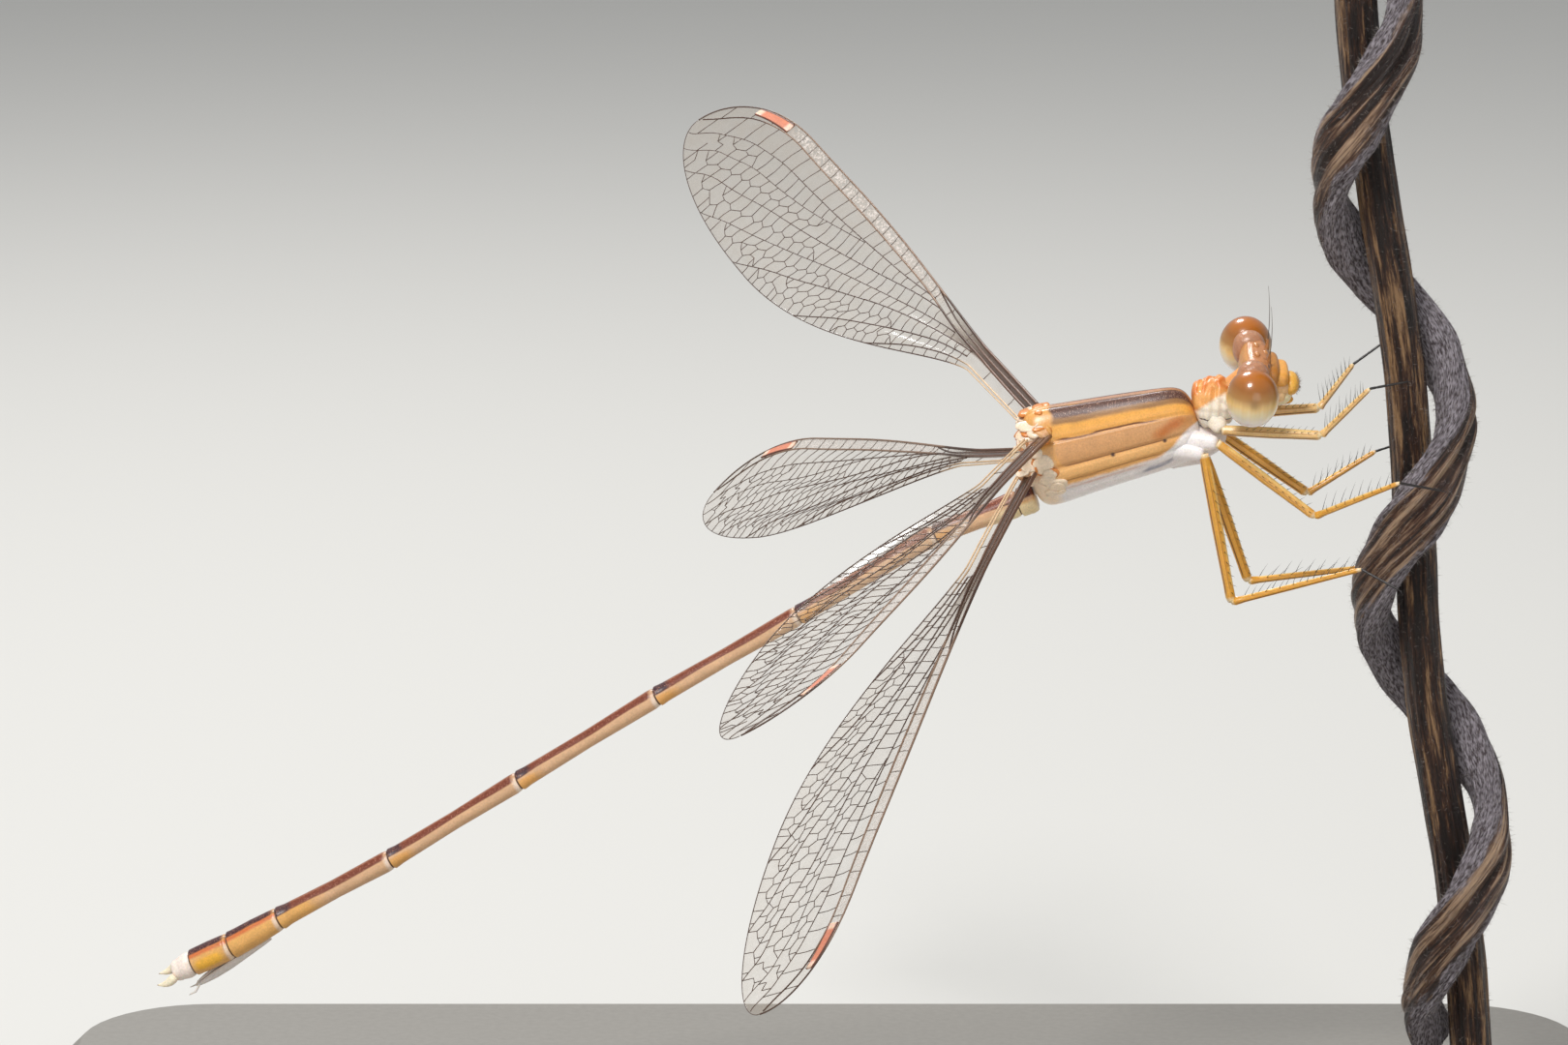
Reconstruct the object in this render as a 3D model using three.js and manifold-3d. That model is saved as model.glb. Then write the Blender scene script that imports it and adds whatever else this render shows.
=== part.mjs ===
// A female spreadwing damselfly, life size, gripping a short cut length of stem with its twining vine.
// A flat base and one short rod hold the stem. Millimetres, +Z up; the origin is the centre of the
// base's underside. The animal faces +X and leans over, so that its right side and back face -Y.
import * as THREE from 'three';
import { mergeVertices } from 'three/addons/utils/BufferGeometryUtils.js';
import Module from 'manifold-3d';

const wasm = await Module();
wasm.setup();

const { cos, sin, PI, abs, min, max, sqrt } = Math;
const degrees = (value) => (value * PI) / 180;
const point = (x, y, z) => new THREE.Vector3(x, y, z);

// Driving dimensions, in millimetres and degrees. Places in the figure are measured from a point in
// the air halfway between head and tail tip.
const GAP = 0.3;
const ROLL = degrees(17.5);
const BASE = { length: 50, width: 30, height: 3, corner: 4, edge: 0.5 };
const FIGURE_HEIGHT = 22.5;
const FIGURE_SHIFT = -1.5;
const ROD_RADIUS = 0.9;

const STEM = { top: 16.8, foot: -17, radius: 0.63, lean: degrees(6.9), midX: 19.2, sway: 0.18 };
const VINE = { reach: 1.46, wide: 0.82, thick: 0.52, pitch: 12.6, frontZ: 0.6, swell: 0.06 };

const SEGMENT_JOINT_X = 7.7;
const SEGMENT_JOINT_Z = 0.82;
// Length, slope down towards the tail, and half thickness at the front, middle and back of each
// abdominal segment, from the thorax to the tail.
const SEGMENTS = [
  { length: 0.55, slope: 22, front: 0.5, waist: 0.5, back: 0.46 },
  { length: 2.72, slope: 20.9, front: 0.44, waist: 0.34, back: 0.35 },
  { length: 4.89, slope: 31.3, front: 0.33, waist: 0.29, back: 0.33 },
  { length: 5.06, slope: 30.5, front: 0.32, waist: 0.28, back: 0.33 },
  { length: 5.02, slope: 32.1, front: 0.32, waist: 0.28, back: 0.33 },
  { length: 4.71, slope: 32.1, front: 0.32, waist: 0.28, back: 0.34 },
  { length: 3.95, slope: 28.6, front: 0.33, waist: 0.3, back: 0.38 },
  { length: 1.75, slope: 29.8, front: 0.38, waist: 0.41, back: 0.43 },
  { length: 1.31, slope: 25, front: 0.43, waist: 0.43, back: 0.42 },
  { length: 0.7, slope: 27, front: 0.4, waist: 0.39, back: 0.35 },
];
const OVIPOSITOR = { length: 2.9, start: 0.15, drop: 0.84, slope: 3, wide: 0.25, deep: 0.3 };
const CERCUS = { length: 0.62, radius: 0.21, apart: 0.36, spread: 8 };

const THORAX = {
  rear: point(7.35, 0, 1.95),
  front: point(12.62, 0, 3.22),
  tall: 1.7,
  low: 1.2,
  flat: 0.7,
  square: 12,
};
// Angles from the back down to the belly, in degrees, at which the thorax has its corners, and those
// of them that are sutures.
const THORAX_CORNERS = [0, 14, 28, 40, 46, 50, 54, 66, 79, 85, 91, 105, 120, 140, 160, 180];
const SUTURES = { angles: [50, 85], depth: 0.06 };
const PROTHORAX = { centre: point(13.02, 0, 3.75), long: 0.42, high: 0.72, wide: 0.66 };
const LOBE = { forward: 0.26, up: 0.42, long: 0.22, high: 0.36, wide: 0.6 };
const HEAD = {
  centre: point(14.16, 0, 4.7),
  forward: 0.14,
  up: 0,
  long: 0.56,
  high: 0.68,
  wide: 1.3,
  neck: 0.3,
};
const BROW = { forward: 0.5, up: 0.12, long: 0.5, high: 0.5, wide: 0.85 };
const CLYPEUS = { forward: 0.86, up: -0.06, long: 0.36, high: 0.46, wide: 0.62 };
const LABRUM = { forward: 1.3, up: -0.32, long: 0.28, high: 0.34, wide: 0.5 };
const JAWS = { forward: 0.98, up: -0.74, long: 0.48, high: 0.27, wide: 0.54 };
const OCELLUS = { radius: 0.13, forward: 0.3, up: 0.64, apart: 0.26 };
const EYE = { apart: 1.72, long: 0.8, high: 0.9, wide: 0.82 };
const ANTENNA = { length: 1.6, root: 0.25, tip: 0.08, apart: 0.48, forward: 0.4, up: 1.04, splay: 10 };

// A wing's root and the straight line to its tip, the direction of its front edge at the root, the
// turn of the blade from root to tip, and how far the tip bends out of the plane.
const WINGS = [
  {
    name: 'wing_fore_left',
    root: point(7.58, 0.85, 3.12),
    line: point(-8.19, 18.5, 5.6),
    lead: point(0.63, 0.04, 0.78),
    twist: 20,
    bend: -2.5,
    chord: 4.5,
  },
  {
    name: 'wing_hind_left',
    root: point(7.35, 0.85, 1.95),
    line: point(-8.06, 17.76, -4.45),
    lead: point(0.8, 0.46, 0.4),
    twist: -18,
    bend: -1.1,
    chord: 4.7,
  },
  {
    name: 'wing_fore_right',
    root: point(7.72, -1.0, 2.86),
    line: point(-8.2, -19.0, -3.47),
    lead: point(0.9, -0.42, 0.15),
    twist: 20,
    bend: -0.8,
    chord: 4.5,
  },
  {
    name: 'wing_hind_right',
    root: point(7.35, -1.0, 1.68),
    line: point(-8.51, -14.04, -11.42),
    lead: point(0.7, -0.65, 0.28),
    twist: 8,
    bend: -2.1,
    chord: 4.7,
  },
];
const WING = { thick: 0.5, petiole: 0.19, stalk: 0.8, broadest: 0.68, end: 0.988, bow: 0.15, edge: 0.6 };
// Where the main veins run, as shares of the chord from the front edge: radius, first and second
// posterior radial, median and cubital vein. A vein is a ridge as high as this above the blade.
const VEINS = [0.12, 0.3, 0.48, 0.66, 0.84];
const VEIN = { height: 0.13, foot: 0.035, fullChord: 2.5 };
const STIGMA = { from: 0.86, to: 0.93, height: 0.14 };

// Hip, knee, ankle and claw tip of each leg.
const LEGS = [
  {
    name: 'fore_right',
    joints: [
      point(13.3, -0.62, 3.0),
      point(16.3, -0.95, 2.9),
      point(17.7, -1.35, 4.42),
      point(18.85, -1.25, 4.62),
    ],
  },
  {
    name: 'fore_left',
    joints: [
      point(13.3, 0.62, 3.25),
      point(16.38, 0.95, 3.38),
      point(17.42, 1.2, 4.7),
      point(18.4, 1.3, 5.4),
    ],
  },
  {
    name: 'mid_right',
    joints: [
      point(13.15, -0.85, 2.65),
      point(16.14, -0.95, 0.39),
      point(18.55, -2.5, 1.75),
      point(19.9, -2.55, 1.5),
    ],
  },
  {
    name: 'mid_left',
    joints: [
      point(13.0, 0.75, 2.9),
      point(16.06, 0.95, 0.72),
      point(18.15, 1.2, 1.98),
      point(19.35, 1.35, 2.35),
    ],
  },
  {
    name: 'hind_right',
    joints: [
      point(12.75, -0.8, 2.3),
      point(13.64, -1.0, -2.27),
      point(17.5, -1.9, -1.05),
      point(18.6, -2.55, -1.55),
    ],
  },
  {
    name: 'hind_left',
    joints: [
      point(12.9, 0.75, 1.9),
      point(14.28, 0.95, -2.04),
      point(17.8, 1.05, -1.64),
      point(18.95, 1.3, -1.85),
    ],
  },
];
const COXA_ROOTS = { fore: { x: -0.35, z: 0.35 }, rest: { x: -0.95, z: -0.05 } };
const LEG_RADIUS = { coxa: 0.4, hip: 0.34, femur: 0.27, tibia: 0.25, claw: 0.12 };
const TIBIA_SPINES = { count: 6, length: 0.6, root: 0.085, splay: 42, lean: 35, from: 0.16, to: 0.9 };
const FEMUR_SPINES = { count: 5, length: 0.34, root: 0.085, splay: 48, lean: 30, from: 0.3, to: 0.94 };

// The right side of the leaning animal, seen from within it, is this direction.
const RIGHT = point(0, -cos(ROLL), -sin(ROLL));

// The frame of a piece that runs along the body: forward, up and right.
function bodyFrame(forward) {
  const ahead = forward.clone().normalize();
  return { ahead, up: RIGHT.clone().cross(ahead).normalize(), right: RIGHT };
}

function placed(origin, frame, ahead, up, right) {
  return origin
    .clone()
    .addScaledVector(frame.ahead, ahead)
    .addScaledVector(frame.up, up)
    .addScaledVector(frame.right, right);
}

// A closed body through rings of points that all have the same number, with a fan over each end.
function skinned(rings) {
  const sides = rings[0].length;
  const points = rings.flat();
  const middle = (ring) => ring.reduce((sum, p) => sum.add(p), point(0, 0, 0)).divideScalar(sides);
  const first = points.push(middle(rings[0])) - 1;
  const last = points.push(middle(rings.at(-1))) - 1;
  const index = [];
  for (let side = 0; side < sides; side += 1) {
    const next = (side + 1) % sides;
    for (let ring = 0; ring < rings.length - 1; ring += 1) {
      const near = ring * sides;
      const far = near + sides;
      index.push(near + side, near + next, far + next, near + side, far + next, far + side);
    }
    const end = (rings.length - 1) * sides;
    index.push(first, next, side, last, end + side, end + next);
  }
  const geometry = new THREE.BufferGeometry().setFromPoints(points);
  geometry.setIndex(index);
  return geometry;
}

function cleaned(geometry) {
  const bare = geometry.clone();
  bare.deleteAttribute('normal');
  bare.deleteAttribute('uv');
  return mergeVertices(bare, 1e-4);
}

function solid(geometry) {
  const bare = cleaned(geometry);
  return new wasm.Manifold(
    new wasm.Mesh({
      numProp: 3,
      vertProperties: new Float32Array(bare.attributes.position.array),
      triVerts: new Uint32Array(bare.index.array),
    }),
  );
}

// The largest closed surface of a joined or cut body.
function geometryOf(manifold) {
  const pieces = manifold.decompose();
  pieces.sort((a, b) => b.volume() - a.volume());
  const mesh = pieces[0].getMesh();
  const geometry = new THREE.BufferGeometry();
  geometry.setAttribute('position', new THREE.Float32BufferAttribute(mesh.vertProperties, 3));
  geometry.setIndex(Array.from(mesh.triVerts));
  return geometry;
}

const joined = (parts) => parts.map(solid).reduce((sum, part) => sum.add(part));
const without = (body, cutters) => cutters.reduce((rest, cutter) => rest.subtract(solid(cutter)), body);

// A rounded limb or segment: rings round a line, with the half thickness given along it.
function limb(stations, sides, reference = point(0, 1, 0)) {
  const rings = stations.map(({ at, radius, wide = radius }, index) => {
    const before = stations[max(index - 1, 0)].at;
    const after = stations[min(index + 1, stations.length - 1)].at;
    const along = after.clone().sub(before).normalize();
    const across = reference.clone().addScaledVector(along, -reference.dot(along)).normalize();
    const over = along.clone().cross(across);
    return Array.from({ length: sides }, (_, side) => {
      const angle = (side / sides) * 2 * PI;
      return at.clone().addScaledVector(across, cos(angle) * wide).addScaledVector(over, sin(angle) * radius);
    });
  });
  return skinned(rings);
}

// An egg-shaped body in a frame, larger by the given growth.
function egg(origin, frame, { long, high, wide }, grow = 0, detail = 12) {
  const geometry = new THREE.SphereGeometry(1, detail * 2, detail);
  const place = geometry.attributes.position;
  for (let i = 0; i < place.count; i += 1) {
    const p = placed(
      origin,
      frame,
      place.getX(i) * (long + grow),
      place.getY(i) * (high + grow),
      place.getZ(i) * (wide + grow),
    );
    place.setXYZ(i, p.x, p.y, p.z);
  }
  return geometry;
}

const figure = new THREE.Group();
figure.position.set(FIGURE_SHIFT, 0, FIGURE_HEIGHT);
const display = new THREE.Group();

function addMesh(group, name, geometry, color, roughness = 0.5, metalness = 0) {
  const material = new THREE.MeshStandardMaterial({ color, roughness, metalness });
  const mesh = new THREE.Mesh(geometry, material);
  mesh.name = name;
  group.add(mesh);
  return mesh;
}

// The stem's middle line leans and sways a little; the point is given by its height.
function stemPoint(z) {
  return point(STEM.midX - (z - 0.5) * Math.tan(STEM.lean) + STEM.sway * sin(z * 0.35), 0, z);
}

function makeStem() {
  const steps = 14;
  const stations = Array.from({ length: steps + 1 }, (_, i) => {
    const z = STEM.top + ((STEM.foot - STEM.top) * i) / steps;
    return { at: stemPoint(z), radius: STEM.radius * (1 + 0.05 * sin(i * 2.1)) };
  });
  return limb(stations, 10);
}

// The vine winds round the stem: right, front, left and back on its way down.
function makeVine() {
  const top = STEM.top;
  const foot = STEM.foot + 0.4;
  const steps = 44;
  const sides = 8;
  const rings = [];
  for (let i = 0; i <= steps; i += 1) {
    const z = top + ((foot - top) * i) / steps;
    const turn = ((VINE.frontZ - z) / VINE.pitch) * 2 * PI;
    const outward = point(-sin(turn), -cos(turn), 0);
    const sideways = point(-cos(turn), sin(turn), 0);
    const rise = point(0, 0, -1).addScaledVector(sideways, (VINE.reach * 2 * PI) / VINE.pitch).normalize();
    const across = outward.clone().cross(rise).normalize();
    const centre = stemPoint(z).addScaledVector(outward, VINE.reach);
    const swell = 1 + VINE.swell * sin(z * 1.7);
    rings.push(
      Array.from({ length: sides }, (_, side) => {
        const angle = (side / sides) * 2 * PI;
        return centre
          .clone()
          .addScaledVector(across, cos(angle) * VINE.wide * swell)
          .addScaledVector(outward, sin(angle) * VINE.thick);
      }),
    );
  }
  return skinned(rings);
}

function makeBase() {
  const { length, width, height, corner, edge } = BASE;
  const x = length / 2 - edge;
  const y = width / 2 - edge;
  const outline = new THREE.Shape();
  outline.moveTo(-x + corner, -y);
  outline.lineTo(x - corner, -y);
  outline.absarc(x - corner, -y + corner, corner, -PI / 2, 0, false);
  outline.absarc(x - corner, y - corner, corner, 0, PI / 2, false);
  outline.absarc(-x + corner, y - corner, corner, PI / 2, PI, false);
  outline.absarc(-x + corner, -y + corner, corner, PI, 1.5 * PI, false);
  const geometry = new THREE.ExtrudeGeometry(outline, {
    depth: height - 2 * edge,
    bevelThickness: edge,
    bevelSize: edge,
    bevelSegments: 1,
    curveSegments: 5,
  });
  geometry.translate(0, 0, edge);
  return geometry;
}

function makeRod() {
  const foot = stemPoint(STEM.foot);
  const bottom = BASE.height + GAP;
  const rodTop = FIGURE_HEIGHT + STEM.foot - GAP;
  const geometry = new THREE.CylinderGeometry(ROD_RADIUS, ROD_RADIUS, rodTop - bottom, 16);
  geometry.rotateX(PI / 2);
  geometry.translate(foot.x + FIGURE_SHIFT, 0, (rodTop + bottom) / 2);
  return geometry;
}

addMesh(display, 'stand_base', makeBase(), '#8d8a84', 0.6);
addMesh(display, 'stand_rod', makeRod(), '#b9bbbd', 0.3, 0.9);
addMesh(figure, 'perch_stem', makeStem(), '#3a281c', 0.85);
addMesh(figure, 'perch_vine', makeVine(), '#55483c', 0.9);

// The abdomen hangs from joint to joint, each segment a little thicker at its ends.
const segmentLines = [];
let joint = point(SEGMENT_JOINT_X, 0, SEGMENT_JOINT_Z);
for (const { length, slope } of SEGMENTS) {
  const back = point(-cos(degrees(slope)), 0, -sin(degrees(slope)));
  segmentLines.push({ start: joint.clone(), back });
  joint = joint.clone().addScaledVector(back, length);
}

function makeSegment(index, grow = 0) {
  const { length, front, waist, back } = SEGMENTS[index];
  const line = segmentLines[index];
  const lead = index === 0 ? 0 : GAP / 2;
  const stations = [
    [lead, front * 0.86],
    [lead + 0.1, front],
    [length / 2, waist],
    [length - GAP / 2 - 0.12, back],
    [length - GAP / 2, back * 0.84],
  ].map(([along, radius]) => ({
    at: line.start.clone().addScaledVector(line.back, along + (along > length / 2 ? grow : -grow)),
    radius: radius + grow,
  }));
  return limb(stations, 12);
}

SEGMENTS.forEach((_, index) => {
  const color = index < 7 ? '#7a3a1c' : '#d9a05a';
  addMesh(figure, `abdomen_${index + 1}`, makeSegment(index), color, 0.35);
});

// The ovipositor lies under the last segments and reaches past them.
function makeOvipositor() {
  const line = segmentLines[7];
  const frame = bodyFrame(line.back.clone().negate());
  const tilt = Math.tan(degrees(OVIPOSITOR.slope));
  const stations = [0, 0.08, 0.45, 0.8, 1].map((share, i) => {
    const along = OVIPOSITOR.start + share * OVIPOSITOR.length;
    const drop = OVIPOSITOR.drop + along * tilt;
    const full = [0.5, 0.9, 1, 0.85, 0.35][i];
    return {
      at: placed(line.start, frame, -along, -drop, 0),
      radius: OVIPOSITOR.deep * full,
      wide: OVIPOSITOR.wide * full,
    };
  });
  return limb(stations, 10, RIGHT);
}
addMesh(figure, 'ovipositor', makeOvipositor(), '#d8cfcb', 0.5);

for (const [name, sign] of [
  ['cercus_right', 1],
  ['cercus_left', -1],
]) {
  const frame = bodyFrame(segmentLines[9].back.clone().negate());
  const start = placed(joint, frame, -GAP / 2, 0.02, sign * CERCUS.apart);
  const out = Math.tan(degrees(CERCUS.spread)) * sign;
  const stations = [
    [0, 0.85],
    [0.35, 1],
    [0.75, 0.8],
    [1, 0.4],
  ].map(([share, full]) => ({
    at: placed(start, frame, -share * CERCUS.length, 0, out * share * CERCUS.length),
    radius: CERCUS.radius * full,
  }));
  addMesh(figure, name, limb(stations, 8, RIGHT), '#f0dfc0', 0.5);
}

// Legs: a femur, a tibia and a tarsus with its claws on each.
const isFore = (leg) => leg.name.startsWith('fore');
const between = (a, b, share) => a.clone().lerp(b, share);
function trimmed(from, to, cutFrom, cutTo) {
  const along = to.clone().sub(from).normalize();
  return [from.clone().addScaledVector(along, cutFrom), to.clone().addScaledVector(along, -cutTo)];
}

function legPiece(from, to, cutFrom, cutTo, radii, grow = 0) {
  const [start, end] = trimmed(from, to, cutFrom - grow, cutTo - grow);
  const stations = radii.map((radius, i) => ({
    at: between(start, end, i / (radii.length - 1)),
    radius: radius + grow,
  }));
  return limb(stations, 8);
}

// Two rows of spines along the inner side of a limb, rooted in it and leaning towards its far end.
function spinesOn(from, to, towards, radius, spec) {
  const along = to.clone().sub(from).normalize();
  const inner = towards.clone().addScaledVector(along, -towards.dot(along)).normalize();
  const across = along.clone().cross(inner);
  const splay = degrees(spec.splay);
  const lean = degrees(spec.lean);
  const spines = [];
  for (const row of [-1, 1]) {
    const outward = inner.clone().multiplyScalar(cos(splay)).addScaledVector(across, row * sin(splay));
    const direction = outward.clone().multiplyScalar(cos(lean)).addScaledVector(along, sin(lean));
    const turn = new THREE.Quaternion().setFromUnitVectors(point(0, 1, 0), direction);
    for (let i = 0; i < spec.count; i += 1) {
      const share = spec.from + ((spec.to - spec.from) * (i + 0.25 * (row + 1))) / spec.count;
      const length = spec.length * (1 - 0.25 * share + 0.08 * sin(i * 2.3 + row));
      const sunk = radius * 0.7;
      const root = between(from, to, share).addScaledVector(outward, radius - sunk);
      const spine = new THREE.ConeGeometry(spec.root, length + sunk, 4);
      spine.applyQuaternion(turn);
      const middle = root.addScaledVector(direction, (length + sunk) / 2);
      spine.translate(middle.x, middle.y, middle.z);
      spines.push(spine);
    }
  }
  return spines;
}

const { femur, tibia, claw } = LEG_RADIUS;
const FEMUR_RADII = [femur * 0.8, femur, femur, femur * 0.95, femur * 0.8];
const TIBIA_RADII = [tibia * 0.8, tibia, tibia, tibia, tibia * 0.85];
const TARSUS_RADII = [tibia * 0.85, tibia, tibia * 0.9, claw];
const femurOf = (leg, grow = 0) => legPiece(leg.joints[0], leg.joints[1], 0, GAP / 2, FEMUR_RADII, grow);

for (const leg of LEGS) {
  const [hip, knee, ankle, tip] = leg.joints;
  const thighSpines = spinesOn(hip, knee, ankle.clone().sub(knee), femur, FEMUR_SPINES);
  addMesh(figure, `femur_${leg.name}`, geometryOf(joined([femurOf(leg), ...thighSpines])), '#c98f2e', 0.45);
  const shin = legPiece(knee, ankle, GAP / 2 + 0.1, GAP / 2, TIBIA_RADII);
  const shinSpines = spinesOn(knee, ankle, hip.clone().sub(knee), tibia, TIBIA_SPINES);
  addMesh(figure, `tibia_${leg.name}`, geometryOf(joined([shin, ...shinSpines])), '#d79a2b', 0.45);
  const foot = legPiece(ankle, tip, GAP / 2 + 0.1, 0, TARSUS_RADII);
  addMesh(figure, `tarsus_${leg.name}`, foot, '#241d18', 0.5);
}

// The thorax: deep at the wings and shallow at the neck, narrower along its back than below.
function makeThorax() {
  const { rear, front, tall, low, flat, square } = THORAX;
  const along = front.clone().sub(rear);
  const frame = bodyFrame(along);
  const length = along.length();
  const steps = 12;
  const corners = [...THORAX_CORNERS, ...THORAX_CORNERS.slice(1, -1).reverse().map((angle) => -angle)];
  const rings = [];
  for (let i = 0; i <= steps; i += 1) {
    const share = 0.5 - 0.5 * cos((i / steps) * PI);
    const round = max((1 - abs(2 * share - 1) ** square) ** 0.5, 0.2);
    const high = (tall + (low - tall) * share) * round;
    const centre = placed(rear, frame, share * length, 0, 0);
    rings.push(
      corners.map((corner) => {
        const angle = degrees(corner);
        const wide = high * flat * (1 - 0.2 * cos(angle));
        const groove = SUTURES.angles.includes(abs(corner)) ? SUTURES.depth * round : 0;
        const crest = corner === 0 ? 1.05 : 1 - groove / high;
        return placed(centre, frame, 0, cos(angle) * high * crest, sin(angle) * wide * crest);
      }),
    );
  }
  return skinned(rings);
}

const thoraxFrame = bodyFrame(THORAX.front.clone().sub(THORAX.rear));
const bosses = WINGS.map(({ root }) => {
  const inward = point(root.x + 0.35, root.y * 0.62, root.z);
  return egg(inward, thoraxFrame, { long: 0.62, high: 0.42, wide: 0.42 }, 0, 6);
});
const headFrame = bodyFrame(point(1, 0, -0.05));
const prothoraxFrame = bodyFrame(point(1, 0, 0.3));

// A coxa swells out of the body where its leg begins: the fore legs' from the prothorax, the others'
// from the lower front of the thorax.
function coxa(leg, grow = 0) {
  const hip = leg.joints[0];
  const inward = isFore(leg) ? COXA_ROOTS.fore : COXA_ROOTS.rest;
  const root = point(hip.x + inward.x, hip.y * 0.4, hip.z + inward.z);
  const thick = LEG_RADIUS.coxa + grow;
  const thin = LEG_RADIUS.hip + grow;
  const end = hip.clone().addScaledVector(hip.clone().sub(root).normalize(), grow);
  return limb(
    [
      { at: root, radius: thick * 0.7 },
      { at: between(root, end, 0.3), radius: thick },
      { at: between(root, end, 0.75), radius: thick * 0.95 },
      { at: end, radius: thin * 0.7 },
    ],
    8,
  );
}

const prothoraxEgg = (grow) => egg(PROTHORAX.centre, prothoraxFrame, PROTHORAX, grow, 8);
const makeLobes = (grow) =>
  [-1, 1].map((side) => {
    const seat = placed(PROTHORAX.centre, prothoraxFrame, side * LOBE.forward, LOBE.up, 0);
    return egg(seat, prothoraxFrame, LOBE, grow, 6);
  });

// A wing blade is a grid of points that is split alike on both faces. Its chord grows from a narrow
// stalk to its broadest place and rounds off at the tip.
function wingOutline(share, chord) {
  const { petiole, stalk, broadest, end, bow } = WING;
  const grown = min(max((share - petiole) / (broadest - petiole), 0), 1);
  const spread = (chord - stalk) * sin((grown * PI) / 2) ** 1.3;
  const tipLine = -0.35 * chord;
  // How much of its distance from the tip's line an edge still has, from 1 down to 0 as a round end.
  const left = (from) => sqrt(max(1 - max((share - from) / (end - from), 0) ** 2.4, 0));
  const front = stalk / 2 + bow * sin(min(share / 0.95, 1) * PI) + 0.14 * spread;
  const rear = -(stalk / 2 + 0.86 * spread);
  return {
    lead: tipLine * (1 - left(0.8)) + front * left(0.8),
    trail: share > broadest ? tipLine * (1 - left(broadest)) + rear * left(broadest) : rear,
  };
}

// The rows of the blade's grid from the front edge back: a foot, a crest and a foot for each vein.
const WING_ROWS = [
  0,
  0.05,
  ...VEINS.flatMap((vein) => [vein - VEIN.foot, vein, vein + VEIN.foot]),
  1,
];

// How far the surface stands above the blade at one place of its grid.
function relief(share, across, chordHere) {
  const vein = VEINS.includes(across) || across === 0 ? VEIN.height * min(chordHere / VEIN.fullChord, 1) : 0;
  const inStigma = share > STIGMA.from && share < STIGMA.to && across > 0 && across < VEINS[0];
  return inStigma ? STIGMA.height : vein;
}

function makeWing({ root, line, lead, twist, bend, chord }, grow = 0) {
  const columns = 20;
  const rows = WING_ROWS.length - 1;
  const out = line.clone().normalize();
  const length = line.length();
  const front = lead.clone().addScaledVector(out, -lead.dot(out)).normalize();
  const top = [];
  const bottom = [];
  for (let column = 0; column <= columns; column += 1) {
    const share = (sin((column / columns) * (PI / 2)) * 0.65 + (column / columns) * 0.35) * WING.end * 0.998;
    const outline = wingOutline(share, chord);
    const turned = front.clone().applyAxisAngle(out, degrees(twist) * share);
    const normal = out.clone().cross(turned);
    const centre = root.clone().addScaledVector(out, share * length);
    centre.addScaledVector(normal, bend * share ** 2);
    const chordHere = outline.lead - outline.trail;
    for (let row = rows; row >= 0; row -= 1) {
      const across = WING_ROWS[row];
      const edge = row === 0 || row === rows ? WING.edge : 1;
      const at = centre.clone().addScaledVector(turned, outline.lead - across * chordHere);
      const half = (WING.thick / 2) * edge + relief(share, across, chordHere) + grow;
      top.push(at.clone().addScaledVector(normal, half));
      bottom.push(at.clone().addScaledVector(normal, -half));
    }
  }
  return slab(top, bottom, columns, rows);
}

// A closed sheet from two grids of points that are split alike, joined round their rims.
function slab(top, bottom, columns, rows) {
  const stride = rows + 1;
  const under = top.length;
  const index = [];
  for (let column = 0; column < columns; column += 1) {
    for (let row = 0; row < rows; row += 1) {
      const a = column * stride + row;
      const b = a + stride;
      index.push(a, b, b + 1, a, b + 1, a + 1);
      index.push(under + a, under + b + 1, under + b, under + a, under + a + 1, under + b + 1);
    }
  }
  const rim = [];
  for (let row = 0; row < rows; row += 1) rim.push(row);
  for (let column = 0; column < columns; column += 1) rim.push(column * stride + rows);
  for (let row = rows; row > 0; row -= 1) rim.push(columns * stride + row);
  for (let column = columns; column > 0; column -= 1) rim.push(column * stride);
  rim.forEach((here, i) => {
    const next = rim[(i + 1) % rim.length];
    index.push(here, next, under + next, here, under + next, under + here);
  });
  const geometry = new THREE.BufferGeometry().setFromPoints([...top, ...bottom]);
  geometry.setIndex(index);
  return geometry;
}

// The room that a wing's stalk needs in the body.
function stalkRoom({ root, line, lead }) {
  const out = line.clone().normalize();
  const reach = [-GAP, WING.stalk * 3];
  const stations = reach.map((along) => ({
    at: root.clone().addScaledVector(out, along),
    radius: WING.thick / 2 + VEIN.height + GAP,
    wide: WING.stalk / 2 + GAP,
  }));
  return limb(stations, 8, lead);
}

const bodyCutters = [
  ...LEGS.map((leg) => femurOf(leg, GAP)),
  makeSegment(0, GAP),
  makeSegment(1, GAP),
  prothoraxEgg(GAP),
  ...makeLobes(GAP),
  ...LEGS.filter(isFore).map((leg) => coxa(leg, GAP)),
  ...WINGS.map(stalkRoom),
];
const coxae = LEGS.filter((leg) => !isFore(leg)).map((leg) => coxa(leg));
const thorax = without(joined([makeThorax(), ...coxae, ...bosses]), bodyCutters);
addMesh(figure, 'thorax', geometryOf(thorax), '#a86f3c', 0.45);

const foreCoxae = LEGS.filter(isFore).map((leg) => coxa(leg));
const prothorax = without(joined([prothoraxEgg(0), ...makeLobes(0), ...foreCoxae]), [
  ...LEGS.map((leg) => femurOf(leg, GAP)),
]);
addMesh(figure, 'prothorax', geometryOf(prothorax), '#e08a3a', 0.45);

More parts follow.
